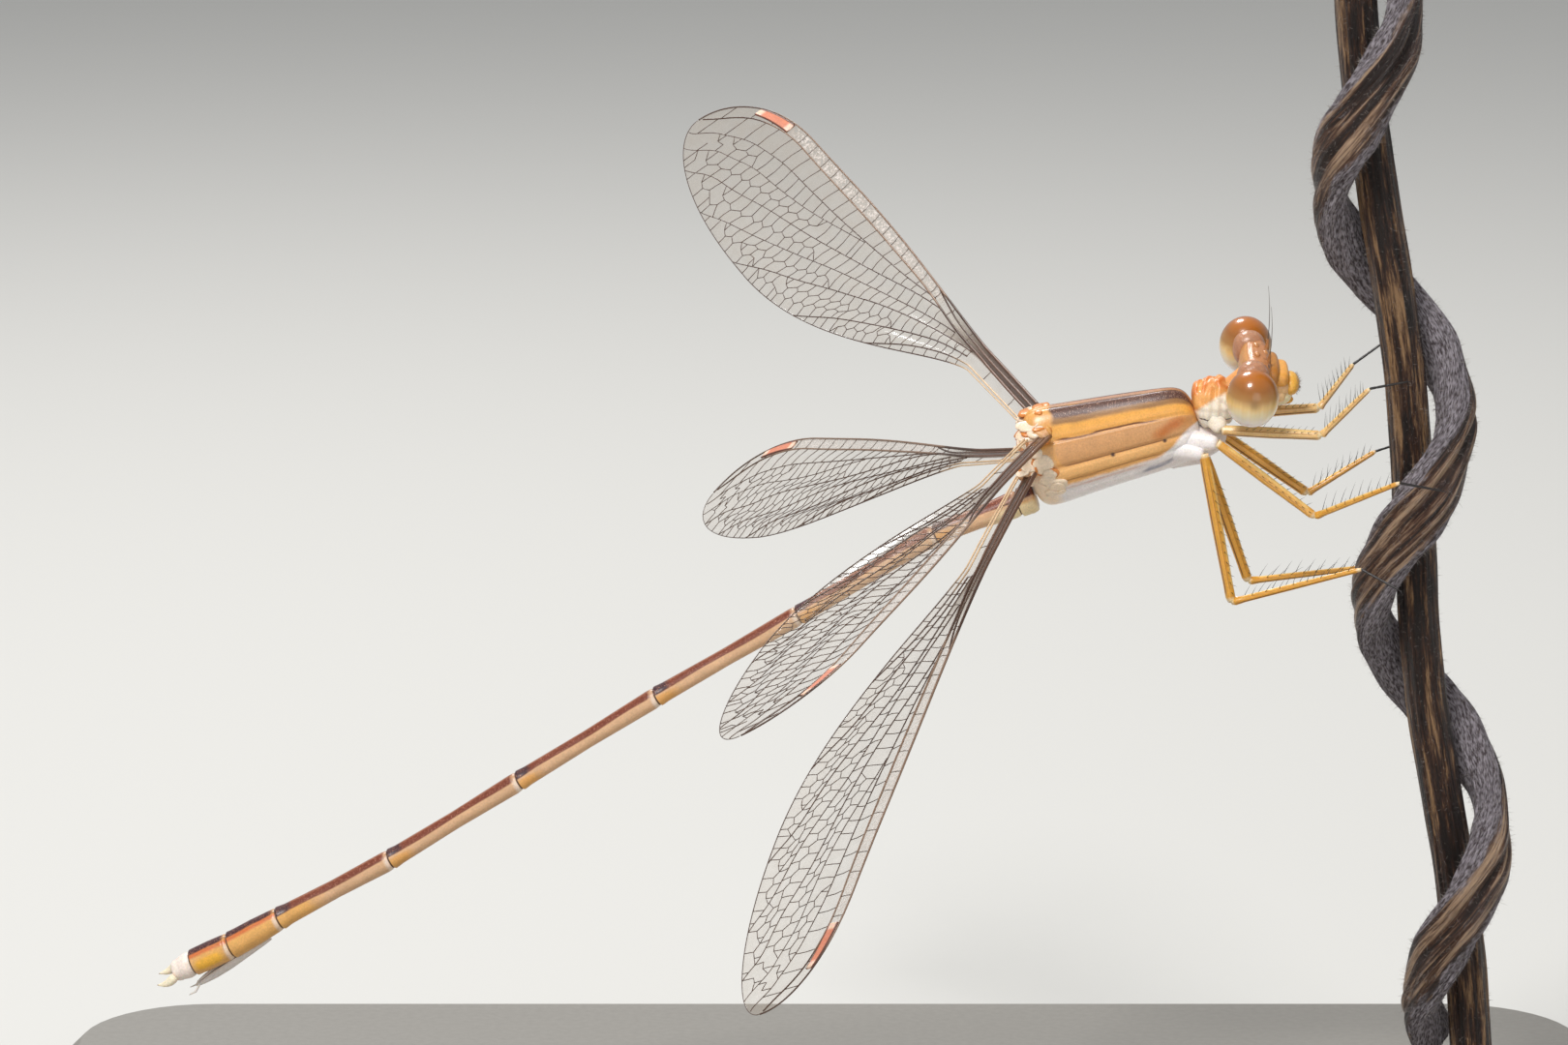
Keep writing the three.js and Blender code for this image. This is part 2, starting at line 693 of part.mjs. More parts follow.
// The head is a short bar between the eyes, with the brow, the clypeus and the jaws in front.
const eyeCentre = (sign) => placed(HEAD.centre, headFrame, -0.02, 0, sign * EYE.apart);
const eyeEgg = (sign, grow, detail) => egg(eyeCentre(sign), headFrame, EYE, grow, detail);
const onHead = (form, grow = 0, detail = 8) =>
  egg(placed(HEAD.centre, headFrame, form.forward, form.up, 0), headFrame, form, grow, detail);
const ocelli = [
  [0.14, 0],
  [-0.14, -1],
  [-0.14, 1],
].map(([ahead, side]) => {
  const { radius, forward, up, apart } = OCELLUS;
  const seat = placed(HEAD.centre, headFrame, forward + ahead, up - max(ahead, 0) * 0.6, side * apart);
  return egg(seat, headFrame, { long: radius, high: radius, wide: radius }, 0, 4);
});
const neck = limb(
  [PROTHORAX.centre, HEAD.centre].map((at) => ({ at, radius: HEAD.neck })),
  8,
);
const headParts = [onHead(HEAD, 0, 10), onHead(BROW), onHead(CLYPEUS), neck, ...ocelli];
const antennae = [
  ['antenna_right', 1],
  ['antenna_left', -1],
].map(([name, sign]) => {
  const root = placed(HEAD.centre, headFrame, ANTENNA.forward, ANTENNA.up, sign * ANTENNA.apart);
  const out = Math.tan(degrees(ANTENNA.splay)) * sign;
  const geometry = limb(
    [0, 0.15, 0.5, 1].map((share) => ({
      at: placed(root, headFrame, 0.05 * share, share * ANTENNA.length, out * share * ANTENNA.length),
      radius: ANTENNA.root + (ANTENNA.tip - ANTENNA.root) * share,
    })),
    8,
    RIGHT,
  );
  return { name, geometry, root };
});
const foreFemora = LEGS.filter(isFore).map((leg) => femurOf(leg, GAP));
const head = without(joined(headParts), [
  eyeEgg(1, GAP, 10),
  eyeEgg(-1, GAP, 10),
  onHead(LABRUM, GAP),
  onHead(JAWS, GAP),
  prothoraxEgg(GAP),
  ...makeLobes(GAP),
  ...foreFemora,
]);
const jaws = without(solid(onHead(JAWS)), [
  onHead(LABRUM, GAP),
  eyeEgg(1, GAP),
  eyeEgg(-1, GAP),
  ...foreFemora,
]);
addMesh(figure, 'head', geometryOf(head), '#c07a3a', 0.45);
addMesh(figure, 'labrum', cleaned(onHead(LABRUM)), '#dba54a', 0.45);
addMesh(figure, 'jaws', geometryOf(jaws), '#dba54a', 0.45);
addMesh(figure, 'eye_right', cleaned(eyeEgg(1, 0, 9)), '#b5702a', 0.15);
addMesh(figure, 'eye_left', cleaned(eyeEgg(-1, 0, 9)), '#b5702a', 0.15);
antennae.forEach(({ name, geometry }) => addMesh(figure, name, geometry, '#2a1c14', 0.5));

WINGS.forEach((wing) => addMesh(figure, wing.name, makeWing(wing), '#c9b8a0', 0.2));

const damselfly = new THREE.Group();
damselfly.add(display, figure);
export default damselfly;
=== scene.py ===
# %% [markdown]
# # A spreadwing damselfly on its stem
#
# This lesson dresses a life-size still model of a female spreadwing damselfly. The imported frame
# gives every solid its place; here each one gets the shape and finish that the eye expects.
# Everything is in metres, and a wing vein is a few hundredths of a millimetre thick, so the
# camera's near clip has to be small too.

import bpy
import numpy as np
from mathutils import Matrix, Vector


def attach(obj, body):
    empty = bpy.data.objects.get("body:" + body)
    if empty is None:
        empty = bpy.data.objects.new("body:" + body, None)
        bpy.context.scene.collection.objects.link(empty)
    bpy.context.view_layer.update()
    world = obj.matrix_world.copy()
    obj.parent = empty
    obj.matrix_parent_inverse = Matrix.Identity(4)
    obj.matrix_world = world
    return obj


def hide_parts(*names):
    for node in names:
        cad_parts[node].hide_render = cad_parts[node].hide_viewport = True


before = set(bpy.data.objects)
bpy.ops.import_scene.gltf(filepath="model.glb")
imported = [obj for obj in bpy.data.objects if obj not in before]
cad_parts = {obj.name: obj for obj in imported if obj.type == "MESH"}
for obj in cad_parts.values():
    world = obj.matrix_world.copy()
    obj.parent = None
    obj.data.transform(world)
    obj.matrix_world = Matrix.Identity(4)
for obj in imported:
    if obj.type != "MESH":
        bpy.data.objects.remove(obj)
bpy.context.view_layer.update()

# %% [markdown]
# ## One frame for the animal
#
# The animal was measured, in millimetres, from a point in the air between its head and its tail
# tip. One function turns such a place into the scene's metres. The animal leans over towards its
# right side, so its own right and up are turned by that lean.

# %% Driving values
MM = 0.001
LEAN = np.radians(17.5)
FIGURE_ORIGIN = np.array([-1.5, 0.0, 22.5])
RIGHT = np.array([0.0, -np.cos(LEAN), -np.sin(LEAN)])
TURN = 2 * np.pi


def metres(points):
    """Places in the figure, in millimetres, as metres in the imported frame: shift, then scale."""
    return (np.asarray(points, float) + FIGURE_ORIGIN) * MM


def unit(vectors):
    """Each vector divided by its own length."""
    vectors = np.asarray(vectors, float)
    return vectors / np.linalg.norm(vectors, axis=-1, keepdims=True)


def body_frame(ahead):
    """Forward, up and right of a piece that runs along the body; up is right crossed with forward."""
    ahead = unit(ahead)
    return np.array([ahead, unit(np.cross(RIGHT, ahead)), RIGHT])


def placed(origin, axes, ahead=0.0, up=0.0, right=0.0):
    """The place that lies so far ahead, up and right of an origin: origin + sum of distance · axis."""
    steps = np.stack(np.broadcast_arrays(ahead, up, right), axis=-1)
    return np.asarray(origin, float) + steps @ axes


def soft_step(value, low, high):
    """0 below low, 1 above high, and 3t² − 2t³ between them."""
    t = np.clip((value - low) / (high - low), 0, 1)
    return t * t * (3 - 2 * t)


def soft_drop(value, low, high):
    """1 below low, 0 above high: 1 less the soft step."""
    return 1 - soft_step(value, low, high)


def between(value, low, high, soft):
    """1 between low and high and 0 outside, with an edge twice as wide as soft."""
    return soft_step(value, low - soft, low + soft) * soft_drop(value, high - soft, high + soft)


def hill(value, centre, width):
    """A smooth hill of height 1 round a centre: e to the power of −((value − centre) / width)²."""
    return np.exp(-(((value - centre) / width) ** 2))


print("the animal's right is", np.round(RIGHT, 3).tolist())

# %% [markdown]
# ## Camera
#
# The view is from the animal's right side, a little from above. A long lens, 200 mm away, keeps the
# near and far wings in their true proportion. The focal length follows from the scale: so many
# pixels to the millimetre at that distance, on a sensor as wide as the picture.

# %% Camera
CAMERA_DISTANCE = 200.0
CAMERA_RISE = np.radians(12.0)
PIXELS_PER_MM = 33.8
PICTURE_WIDTH = 1620
SENSOR = 36.0

camera = bpy.data.cameras.new("camera")
camera.lens = SENSOR * PIXELS_PER_MM * CAMERA_DISTANCE / PICTURE_WIDTH
camera.sensor_width = SENSOR
camera.clip_start = MM
camera_object = bpy.data.objects.new("camera", camera)
bpy.context.collection.objects.link(camera_object)
away = np.array([0, -np.cos(CAMERA_RISE), np.sin(CAMERA_RISE)])
camera_object.location = metres(away * CAMERA_DISTANCE)
camera_object.rotation_euler = (np.pi / 2 - CAMERA_RISE, 0, 0)
bpy.context.scene.camera = camera_object
print("lens", round(camera.lens, 1), "mm")

# %% [markdown]
# ## Helpers for finishes
#
# Colours are written as people pick them, in sRGB, and one function turns them to the linear values
# that the shader wants. One more function adds a node with its settings and links, so each finish
# below reads from top to bottom. A texture's scale is one over the size of its features in metres.

# %% Finish helpers
# A mix node's colour sockets have no names of their own, so they are known by number.
MIX_A, MIX_B = 6, 7
# The output that a link takes from a node; where a kind isn't listed it is the first.
USUAL_OUTPUT = {"ShaderNodeAttribute": "Fac", "ShaderNodeTexCoord": "Object", "ShaderNodeMix": 2}


def linear(hex_colour):
    """An sRGB hex colour as linear RGBA: ((c + 0.055) / 1.055) ** 2.4, or c / 12.92 for the darkest."""
    channels = np.array([int(hex_colour[i : i + 2], 16) for i in (1, 3, 5)]) / 255
    return (*np.where(channels > 0.04045, ((channels + 0.055) / 1.055) ** 2.4, channels / 12.92), 1.0)


def feed(tree, node, settings, links=None):
    """Sets a node's properties or sockets, with hex colours made linear, and links nodes to sockets."""
    for key, value in settings.items():
        value = linear(value) if str(value).startswith("#") else value
        if isinstance(key, str) and hasattr(node, key):
            setattr(node, key, value)
        else:
            node.inputs[key].default_value = value
    for key, source in (links or {}).items():
        if source:
            tree.links.new(source.outputs[USUAL_OUTPUT.get(source.bl_idname, 0)], node.inputs[key])
    return node


def add(tree, kind, settings=None, links=None):
    """Adds one shader node, with its settings and with the nodes that feed its sockets."""
    return feed(tree, tree.nodes.new("ShaderNode" + kind), settings or {}, links)


def scale_for(size):
    """The scale of a texture whose features are this many millimetres across."""
    return 1 / (size * MM)


def new_finish(name, settings):
    """A material, its node tree and its Principled shader with these settings."""
    material = bpy.data.materials.new(name)
    material.use_nodes = True
    tree = material.node_tree
    return material, tree, feed(tree, tree.nodes["Principled BSDF"], settings)


def drifting(name, settings, patch, tints, detail=2.0):
    """A finish whose colour drifts between two tints over patches so many millimetres across. It
    returns the material, and the tree, the shader and the noise for a finish that adds more."""
    material, tree, shader = new_finish(name, settings)
    place = add(tree, "TexCoord")
    noise = add(tree, "TexNoise", {"Scale": scale_for(patch), "Detail": detail}, {"Vector": place})
    both = {"data_type": "RGBA", MIX_A: tints[0], MIX_B: tints[1]}
    feed(tree, shader, {}, {"Base Color": add(tree, "Mix", both, {"Factor": noise})})
    return material, tree, shader, noise


print("mid grey #808080 is", round(float(linear("#808080")[0]), 3), "in linear light")

# %% [markdown]
# ## Floor and light
#
# The floor is plain and pale. Three round lamps stand in for a small studio: a key above the
# animal, one above and behind it, and a weak fill from the front, with an even pale sky round
# them. The two upper lamps give each eye its pair of small round highlights.

# %% Floor, lamps and sky
FLOOR_SIZE = 1.2
LAMPS = {
    "key": {"place": (-60, -135, 205), "size": 70, "power": 0.5},
    "back": {"place": (-40, 140, 180), "size": 70, "power": 0.3},
    "fill": {"place": (60, -215, 20), "size": 150, "power": 0.07},
}

bpy.ops.mesh.primitive_plane_add(size=FLOOR_SIZE)
floor = bpy.context.object
floor.name = "floor"
# Matt paint takes the soft shadows without a highlight of its own.
floor_paint = new_finish("painted board, rolled matt", {"Base Color": "#CFCDC8", "Roughness": 0.8})[0]
floor.data.materials.append(floor_paint)

for name, lamp in LAMPS.items():
    data = bpy.data.lights.new(name, "AREA")
    data.shape = "DISK"
    data.size = lamp["size"] * MM
    data.energy = lamp["power"]
    lamp_object = bpy.data.objects.new(name, data)
    bpy.context.collection.objects.link(lamp_object)
    lamp_object.location = metres(lamp["place"])
    aim = Vector(metres([0, 0, 0])) - lamp_object.location
    lamp_object.rotation_euler = aim.to_track_quat("-Z", "Y").to_euler()

world = bpy.data.worlds.new("studio sky")
bpy.context.scene.world = world
world.use_nodes = True
sky = world.node_tree.nodes["Background"]
sky.inputs["Color"].default_value = linear("#E6E9EC")
sky.inputs["Strength"].default_value = 0.5
bpy.context.scene.view_settings.view_transform = "Standard"
print("lamps:", ", ".join(LAMPS))

# %% [markdown]
# ## Surfaces from arrays
#
# Nearly every piece here is a tube: rings of points round a path, closed by a fan to a pole at each
# end. A leg is one tube, an eye is a tube that swells and closes, and a wing's veins are hundreds.
# So one grid of shape (tube, ring, place in the ring, xyz) serves them all. A mask is a number for
# each point of the same grid; it goes into the mesh as an attribute, where a finish can read it.

# %% Grids into meshes


def tube_points(grid):
    """All ring points of each tube, then the middle of its first and of its last ring, its poles."""
    poles = grid[:, [0, -1]].mean(axis=2)
    rings = grid.reshape(len(grid), -1, grid.shape[-1])
    return np.concatenate([rings, poles], axis=1).reshape(-1, grid.shape[-1])


def tube_faces(tubes, rows, columns):
    """Quads between neighbouring rings of each tube and a fan from each pole to the ring beside it."""
    row = np.arange(rows - 1)[:, None] * columns
    here = np.arange(columns)
    beside = (here + 1) % columns
    corners = np.broadcast_arrays(row + here, row + beside, row + columns + beside, row + columns + here)
    quads = np.stack(corners, axis=-1).reshape(-1, 4)
    size = rows * columns
    first = np.stack([np.full(columns, size), beside, here], axis=-1)
    last = np.stack([np.full(columns, size + 1), size - columns + here, size - columns + beside], axis=-1)
    start = np.arange(tubes)[:, None, None] * (size + 2)
    return (quads + start).reshape(-1, 4), (np.concatenate([first, last]) + start).reshape(-1, 3)


def body(grid, **masks):
    """Points, faces and masks of the closed tubes in a grid; a face list that points inwards is turned."""
    points = tube_points(grid)
    quads, fans = tube_faces(*grid.shape[:3])
    a, b, c, d = (points[quads[:, i]] for i in range(4))
    middle = points.mean(axis=0)
    volume = (np.cross(c - a, d - b) * (a - middle)).sum()
    if volume < 0:
        quads, fans = quads[:, ::-1], fans[:, ::-1]
    values = {}
    for key, mask in masks.items():
        values[key] = tube_points(np.broadcast_to(mask, grid.shape[:3])[..., None]).ravel()
    return {"points": points, "quads": quads, "fans": fans, "masks": values}


def joined(bodies):
    """Several bodies as one: later faces count on, and a mask that a body lacks is 0 there."""
    starts = np.cumsum([0] + [len(b["points"]) for b in bodies])
    whole = {"points": np.concatenate([b["points"] for b in bodies]), "masks": {}}
    for part in ("quads", "fans"):
        whole[part] = np.concatenate([b[part] + start for b, start in zip(bodies, starts)])
    for key in sorted({key for b in bodies for key in b["masks"]}):
        values = [b["masks"].get(key, np.zeros(len(b["points"]))) for b in bodies]
        whole["masks"][key] = np.concatenate(values)
    return whole


def make_piece(name, shape, finish, nodes=()):
    """One object at the origin with its mesh, masks, finish, body and replaced nodes."""
    mesh = bpy.data.meshes.new(name)
    mesh.vertices.add(len(shape["points"]))
    mesh.vertices.foreach_set("co", metres(shape["points"]).ravel())
    corners = np.concatenate([shape["quads"].ravel(), shape["fans"].ravel()])
    quads = len(shape["quads"])
    starts = np.concatenate([np.arange(quads) * 4, quads * 4 + np.arange(len(shape["fans"])) * 3])
    mesh.loops.add(len(corners))
    mesh.loops.foreach_set("vertex_index", corners)
    mesh.polygons.add(len(starts))
    mesh.polygons.foreach_set("loop_start", starts)
    mesh.polygons.foreach_set("use_smooth", np.ones(len(starts), bool))
    masks = dict(shape["masks"])
    if "u" in masks:
        flat = np.stack([masks.pop("u"), masks.pop("v")], axis=-1)[corners]
        mesh.uv_layers.new(name="OFBake").data.foreach_set("uv", flat.ravel())
    for key, values in masks.items():
        mesh.attributes.new(key, "FLOAT", "POINT").data.foreach_set("value", values)
    mesh.update(calc_edges=True)
    mesh.validate()
    mesh.materials.append(finish)
    piece = bpy.data.objects.new(name, mesh)
    bpy.context.collection.objects.link(piece)
    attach(piece, "root")
    if nodes:
        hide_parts(*nodes)
    print(name, len(mesh.polygons), "faces")


def round_angles(columns):
    """The angle of each column of a ring, from 0 to just under a full turn."""
    return np.arange(columns) / columns * TURN


def off_middle(angles):
    """Degrees from angle 0, counted the same way on both sides."""
    return np.degrees(np.minimum(angles, TURN - angles))


def eased(rows, margin):
    """Shares of a length that lie closer together near both ends: 0.5 − 0.5·cos(π·t)."""
    return 0.5 - 0.5 * np.cos(np.linspace(margin, 1 - margin, rows) * np.pi)[:, None]


def rings_round(paths, wide, high, columns, reference):
    """Ring point = path + across·cos a·wide + over·sin a·high, where across is the part of the
    reference square to the path and over = along × across."""
    along = unit(np.gradient(paths, axis=-2))
    reference = np.broadcast_to(np.asarray(reference, float), paths.shape)
    across = unit(reference - along * (reference * along).sum(axis=-1, keepdims=True))
    over = np.cross(along, across)
    angle = round_angles(columns)
    sides = across[..., None, :] * (np.cos(angle) * np.asarray(wide)[..., None])[..., None]
    tops = over[..., None, :] * (np.sin(angle) * np.asarray(high)[..., None])[..., None]
    return paths[..., None, :] + sides + tops


def tube(path, wide, high, columns, reference):
    """The grid of one tube round one path."""
    return rings_round(path[None], np.asarray(wide)[None], np.asarray(high)[None], columns, reference)


def along_line(start, end, shares):
    """Points on the straight line between two places: start + (end − start)·share."""
    start, end = np.asarray(start, float), np.asarray(end, float)
    return start + (end - start) * np.asarray(shares, float)[:, None]


# How far, in radians, an egg's first ring stays from its pole, and how wide a hair's patch is on the
# skin's unwrap.
POLE = 0.03
PATCH = 0.003


def sphere_angles(rows, columns):
    """Angle from the rear pole to the front pole for each row, and round the axis for each column."""
    return np.linspace(POLE, np.pi - POLE, rows)[:, None], round_angles(columns)


def upwards(rows, columns):
    """How far each point of an egg's grid faces up: sin t·cos a, from −1 to 1."""
    t, a = sphere_angles(rows, columns)
    return np.sin(t) * np.cos(a)


def bulged(value, block):
    """A value from −1 to 1 pushed out towards ±1: sign·|value|^block, with block 1 for no change."""
    return np.sign(value) * np.abs(value) ** block


def egg_grid(centre, axes, long, high, wide, rows=24, columns=36, block=1.0):
    """An egg: centre + ahead·long·(−cos t) + up·high·sin t·cos a + right·wide·sin t·sin a; a block
    below 1 pushes each sine and cosine out, which makes a rounded box."""
    t, a = sphere_angles(rows, columns)
    ring = bulged(np.sin(t), block)
    ahead = -bulged(np.cos(t), block) * long
    up = ring * bulged(np.cos(a), block) * high
    return placed(centre, axes, ahead, up, ring * bulged(np.sin(a), block) * wide)[None]


def bristles(roots, directions, lengths, thick, droop, place=None, rings=4, sides=3):
    """Tapered hairs: path = root + direction·length·t + droop·length·t², radius = thick·(1 − 0.9t).
    Each starts a little under the skin. Where the root's place on the skin's unwrap is given, the
    hair keeps a small patch there."""
    sunk, taper = 0.12, 0.9
    t = np.linspace(-sunk, 1, rings)
    lengths = np.asarray(lengths, float)[:, None, None]
    bend = np.asarray(droop, float) * np.maximum(t, 0)[:, None] ** 2
    paths = roots[:, None] + directions[:, None] * lengths * t[:, None] + bend * lengths
    radius = np.broadcast_to(thick * (1 - taper * np.maximum(t, 0)), paths.shape[:2])
    # Any direction that isn't along the hair will do to start its rings from.
    other = np.roll(directions, 1, axis=-1) + [0.31, 0.17, 0.53]
    sideways = unit(np.cross(directions, other))[:, None]
    grid = rings_round(paths, radius, radius, sides, sideways)
    if place is None:
        return body(grid)
    u = place[:, 0, None, None] + PATCH * np.linspace(-0.5, 0.5, rings)[:, None] + np.zeros(sides)
    v = place[:, 1, None, None] + PATCH * np.linspace(-0.5, 0.5, sides) + np.zeros((rings, 1))
    return body(grid, u=u, v=v)


print("one egg has", len(body(egg_grid([0, 0, 0], np.eye(3), 1, 1, 1))["points"]), "points")

# %% [markdown]
# ## The display stand
#
# A live damselfly holds a stem that grows from the ground. In a case the stem's cut length stands on
# a short steel pin in a flat base. Both solids have the right shape already, so they keep it and get
# a finish: the base is cast acrylic sheet, sanded matt, and the pin is drawn stainless steel.

# %% Stand finishes
# Sanded acrylic scatters the lamps into a soft sheen, and its faint grit keeps it from looking flat.
sanded = {"Roughness": 0.55, "IOR": 1.49}
acrylic, tree, shader, grit = drifting(
    "cast acrylic, sanded matt", sanded, 0.25, ("#7F7B74", "#8E8A83"), detail=4.0
)
dents = add(tree, "Bump", {"Strength": 0.25, "Distance": 0.01 * MM}, {"Height": grit})
feed(tree, shader, {}, {"Normal": dents})

# Drawing leaves fine lines along the pin, which stretch its highlight.
steel, tree, shader = new_finish("stainless steel, drawn", {"Metallic": 1.0, "Base Color": "#B4B6B8"})
place = add(tree, "TexCoord")
stretch = add(tree, "Mapping", {"Scale": (1, 1, 0.03)}, {"Vector": place})
drawn = add(tree, "TexNoise", {"Scale": scale_for(0.06)}, {"Vector": stretch})
dull = add(tree, "MapRange", {"To Min": 0.22, "To Max": 0.42}, {"Value": drawn})
lines = add(tree, "Bump", {"Strength": 0.2, "Distance": 0.004 * MM}, {"Height": drawn})
feed(tree, shader, {}, {"Roughness": dull, "Normal": lines})

for node, finish in (("stand_base", acrylic), ("stand_rod", steel)):
    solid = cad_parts[node]
    solid.data.materials.clear()
    solid.data.materials.append(finish)
print("base and pin finished")

# %% [markdown]
# ## Stem and vine
#
# The perch is a dead stem with a thin woody vine twisted round it. Both are bundles of fibres, so
# their skins carry fine ridges that run along them, and the finish stretches its noise the same way.
# The grain attribute holds the way round and the way along, so that the streaks follow the vine as
# it winds. The stem's bark is dark brown with tan strips where it has flaked; the vine is greyer,
# with a crust on it.

# %% Stem and vine shapes
STEM = {"top": 16.8, "foot": -17.0, "radius": 0.63, "lean": np.radians(6.9), "mid_x": 19.2, "sway": 0.18}
VINE = {"reach": 1.46, "wide": 0.86, "thick": 0.56, "pitch": 12.6, "front_z": 0.6, "swell": 0.06}


def stem_point(z):
    """The stem's middle line: it leans evenly and sways by sway·sin(0.35 z)."""
    x = STEM["mid_x"] - (z - 0.5) * np.tan(STEM["lean"]) + STEM["sway"] * np.sin(0.35 * z)
    return np.stack([x, np.zeros_like(z), z], axis=-1)


def waves(a, along, counts, drift, seed):
    """A sum of ridges round a section: cos(n·a + drift·along + phase), for each count n, over √number."""
    phases = np.random.default_rng(seed).uniform(0, TURN, len(counts))
    return sum(np.cos(n * a + drift * along + p) for n, p in zip(counts, phases)) / np.sqrt(len(counts))


def stem_grid(rows=420, columns=72):
    """Rings round the middle line; radius·(1 + ridges of fibre + slow swelling + nodes of bark)."""
    z = np.linspace(STEM["top"], STEM["foot"], rows)[:, None]
    a = round_angles(columns)
    ridges = 0.03 * waves(a, z, (7, 11, 17), 0.25, 1) + 0.02 * waves(a, z, (23, 29), -0.6, 2)
    knobs = 0.03 * np.sin(1.3 * z + 2 * np.sin(a)) * np.sin(0.7 * z + a)
    radius = STEM["radius"] * (1 + ridges + knobs)
    path = stem_point(z[:, 0])
    ring = np.stack([np.cos(a) * radius, np.sin(a) * radius, np.zeros_like(radius)], axis=-1)
    return (path[:, None] + ring)[None], a, z


def vine_grid(rows=760, columns=96):
    """A flat band wound round the stem: centre = stem + outward·reach, with outward turning once a
    pitch, and a section that is wide across the band and thin outwards."""
    z = np.linspace(STEM["top"], STEM["foot"] + 0.4, rows)
    turn = (VINE["front_z"] - z) / VINE["pitch"] * TURN
    outward = np.stack([-np.sin(turn), -np.cos(turn), 0 * turn], axis=-1)
    sideways = np.stack([-np.cos(turn), np.sin(turn), 0 * turn], axis=-1)
    rise = unit([0, 0, -1] + sideways * VINE["reach"] * TURN / VINE["pitch"])
    across = unit(np.cross(outward, rise))
    a = round_angles(columns)
    swell = 1 + VINE["swell"] * np.sin(1.7 * z)[:, None]
    run = z[:, None]
    ridges = 1 + 0.035 * waves(a, run, (5, 8, 13), 0.5, 3) + 0.03 * waves(a, run, (19, 27, 34), -0.8, 4)
    knobs = 0.05 * np.sin(2.9 * run + 2 * np.sin(2 * a)) * np.cos(a + 0.8 * run)
    channel = 1 - 0.22 * hill(a - np.pi / 2, 0.25 * np.sin(0.9 * run), 0.2)
    wide = VINE["wide"] * swell * (ridges + knobs)
    thick = VINE["thick"] * (ridges + knobs) * channel * (1 + 0.1 * np.sin(2.3 * run))
    centre = (stem_point(z) + outward * VINE["reach"])[:, None]
    sides = across[:, None] * (np.cos(a) * wide)[..., None]
    return (centre + sides + outward[:, None] * (np.sin(a) * thick)[..., None])[None], a, run


def grain_masks(a, along, turns):
    """The way round as a circle and the way along, stretched so that noise on them makes streaks."""
    return {"grain_x": np.cos(a) * turns, "grain_y": np.sin(a) * turns, "grain_z": along}


print("stem leans", round(np.degrees(STEM["lean"]), 1), "degrees")

# %% [markdown]
# ## Bark
#
# Dry bark is a mat of dead fibres. Where it has flaked, the tan wood below shows as strips, and a
# grey crust of lichen and dust gathers on the side that the vine turns outwards. So the finish mixes
# three browns by a noise that is stretched along the grain, and lays the crust over them.

# %% Bark finish


def bark(name, dark, mid, streak, crust, crust_amount, gloss):
    """Weathered bark of fibres: streaks from noise stretched along the grain, and a crust in patches."""
    material, tree, shader = new_finish(name, {"IOR": 1.5})
    parts = [add(tree, "Attribute", {"attribute_name": f"grain_{axis}"}) for axis in "xyz"]
    place = add(tree, "CombineXYZ", {}, dict(enumerate(parts)))
    stretch = add(tree, "Mapping", {"Scale": (1, 1, 0.2)}, {"Vector": place})
    fibres = add(tree, "TexNoise", {"Scale": 4.2, "Detail": 9.0, "Roughness": 0.75}, {"Vector": stretch})
    bands = add(tree, "TexNoise", {"Scale": 1.2, "Detail": 2.0}, {"Vector": stretch})
    banded = add(tree, "Math", {"operation": "MULTIPLY_ADD", 1: 0.7}, {0: bands, 2: fibres})
    fine = add(tree, "TexNoise", {"Scale": 14.0, "Detail": 4.0}, {"Vector": stretch})
    grains = add(tree, "TexNoise", {"Scale": 7.0, "Detail": 3.0}, {"Vector": place})
    ramp = add(tree, "ValToRGB", {}, {"Fac": banded})
    stops = ramp.color_ramp.elements
    stops[0].position, stops[0].color = 0.76, linear(dark)
    stops[1].position, stops[1].color = 1.0, linear(streak)
    stops.new(0.87).color = linear(mid)
    dusty = {"data_type": "RGBA", "blend_type": "MULTIPLY", MIX_B: "#8A7A70"}
    warm = add(tree, "Mix", dusty, {"Factor": fine, MIX_A: ramp})
    spots = add(tree, "TexNoise", {"Scale": 0.9, "Detail": 8.0, "Roughness": 0.75}, {"Vector": place})
    exposed = add(tree, "Attribute", {"attribute_name": "exposed"})
    speckled = add(tree, "Math", {"operation": "MULTIPLY_ADD", 1: 0.45}, {0: exposed, 2: spots})
    edges = {"From Min": 0.66 - crust_amount, "From Max": 0.8 - crust_amount}
    patchy = add(tree, "MapRange", edges, {"Value": speckled})
    grain_shade = add(tree, "MapRange", {"From Min": 0.38, "From Max": 0.64}, {"Value": grains})
    grey = add(tree, "Mix", {"data_type": "RGBA", MIX_A: "#4A4042", MIX_B: crust}, {"Factor": grain_shade})
    coat = add(tree, "Mix", {"data_type": "RGBA"}, {"Factor": patchy, MIX_A: warm, MIX_B: grey})
    rough = add(tree, "MapRange", {"To Min": gloss, "To Max": 0.92}, {"Value": patchy})
    height = add(tree, "Math", {"operation": "MULTIPLY_ADD", 1: 0.6}, {0: grains, 2: fibres})
    relief = add(tree, "Bump", {"Strength": 1.0, "Distance": 0.14 * MM}, {"Height": height})
    feed(tree, shader, {}, {"Base Color": coat, "Roughness": rough, "Normal": relief})
    return material


# The stem's bark is nearly black, so that its tan strips stand out; the vine's is paler and greyer.
stem_bark = bark("dead herb stem, flaking bark", "#21140D", "#4E2F1E", "#BE976C", "#7A7068", -0.02, 0.34)
vine_bark = bark("woody vine, weathered and downy", "#2A1A14", "#64422F", "#D8B898", "#A8A0A6", 0.07, 0.28)

stem, a, z = stem_grid()
make_piece("stem_skin", body(stem, exposed=0.0, **grain_masks(a, z, 1.6)), stem_bark, ["perch_stem"])
vine, a, run = vine_grid()
outer_side = soft_drop(np.sin(a), 0.1, 0.9)
vine_body = body(vine, exposed=outer_side, **grain_masks(a, run, 2.2))
make_piece("vine_skin", vine_body, vine_bark, ["perch_vine"])

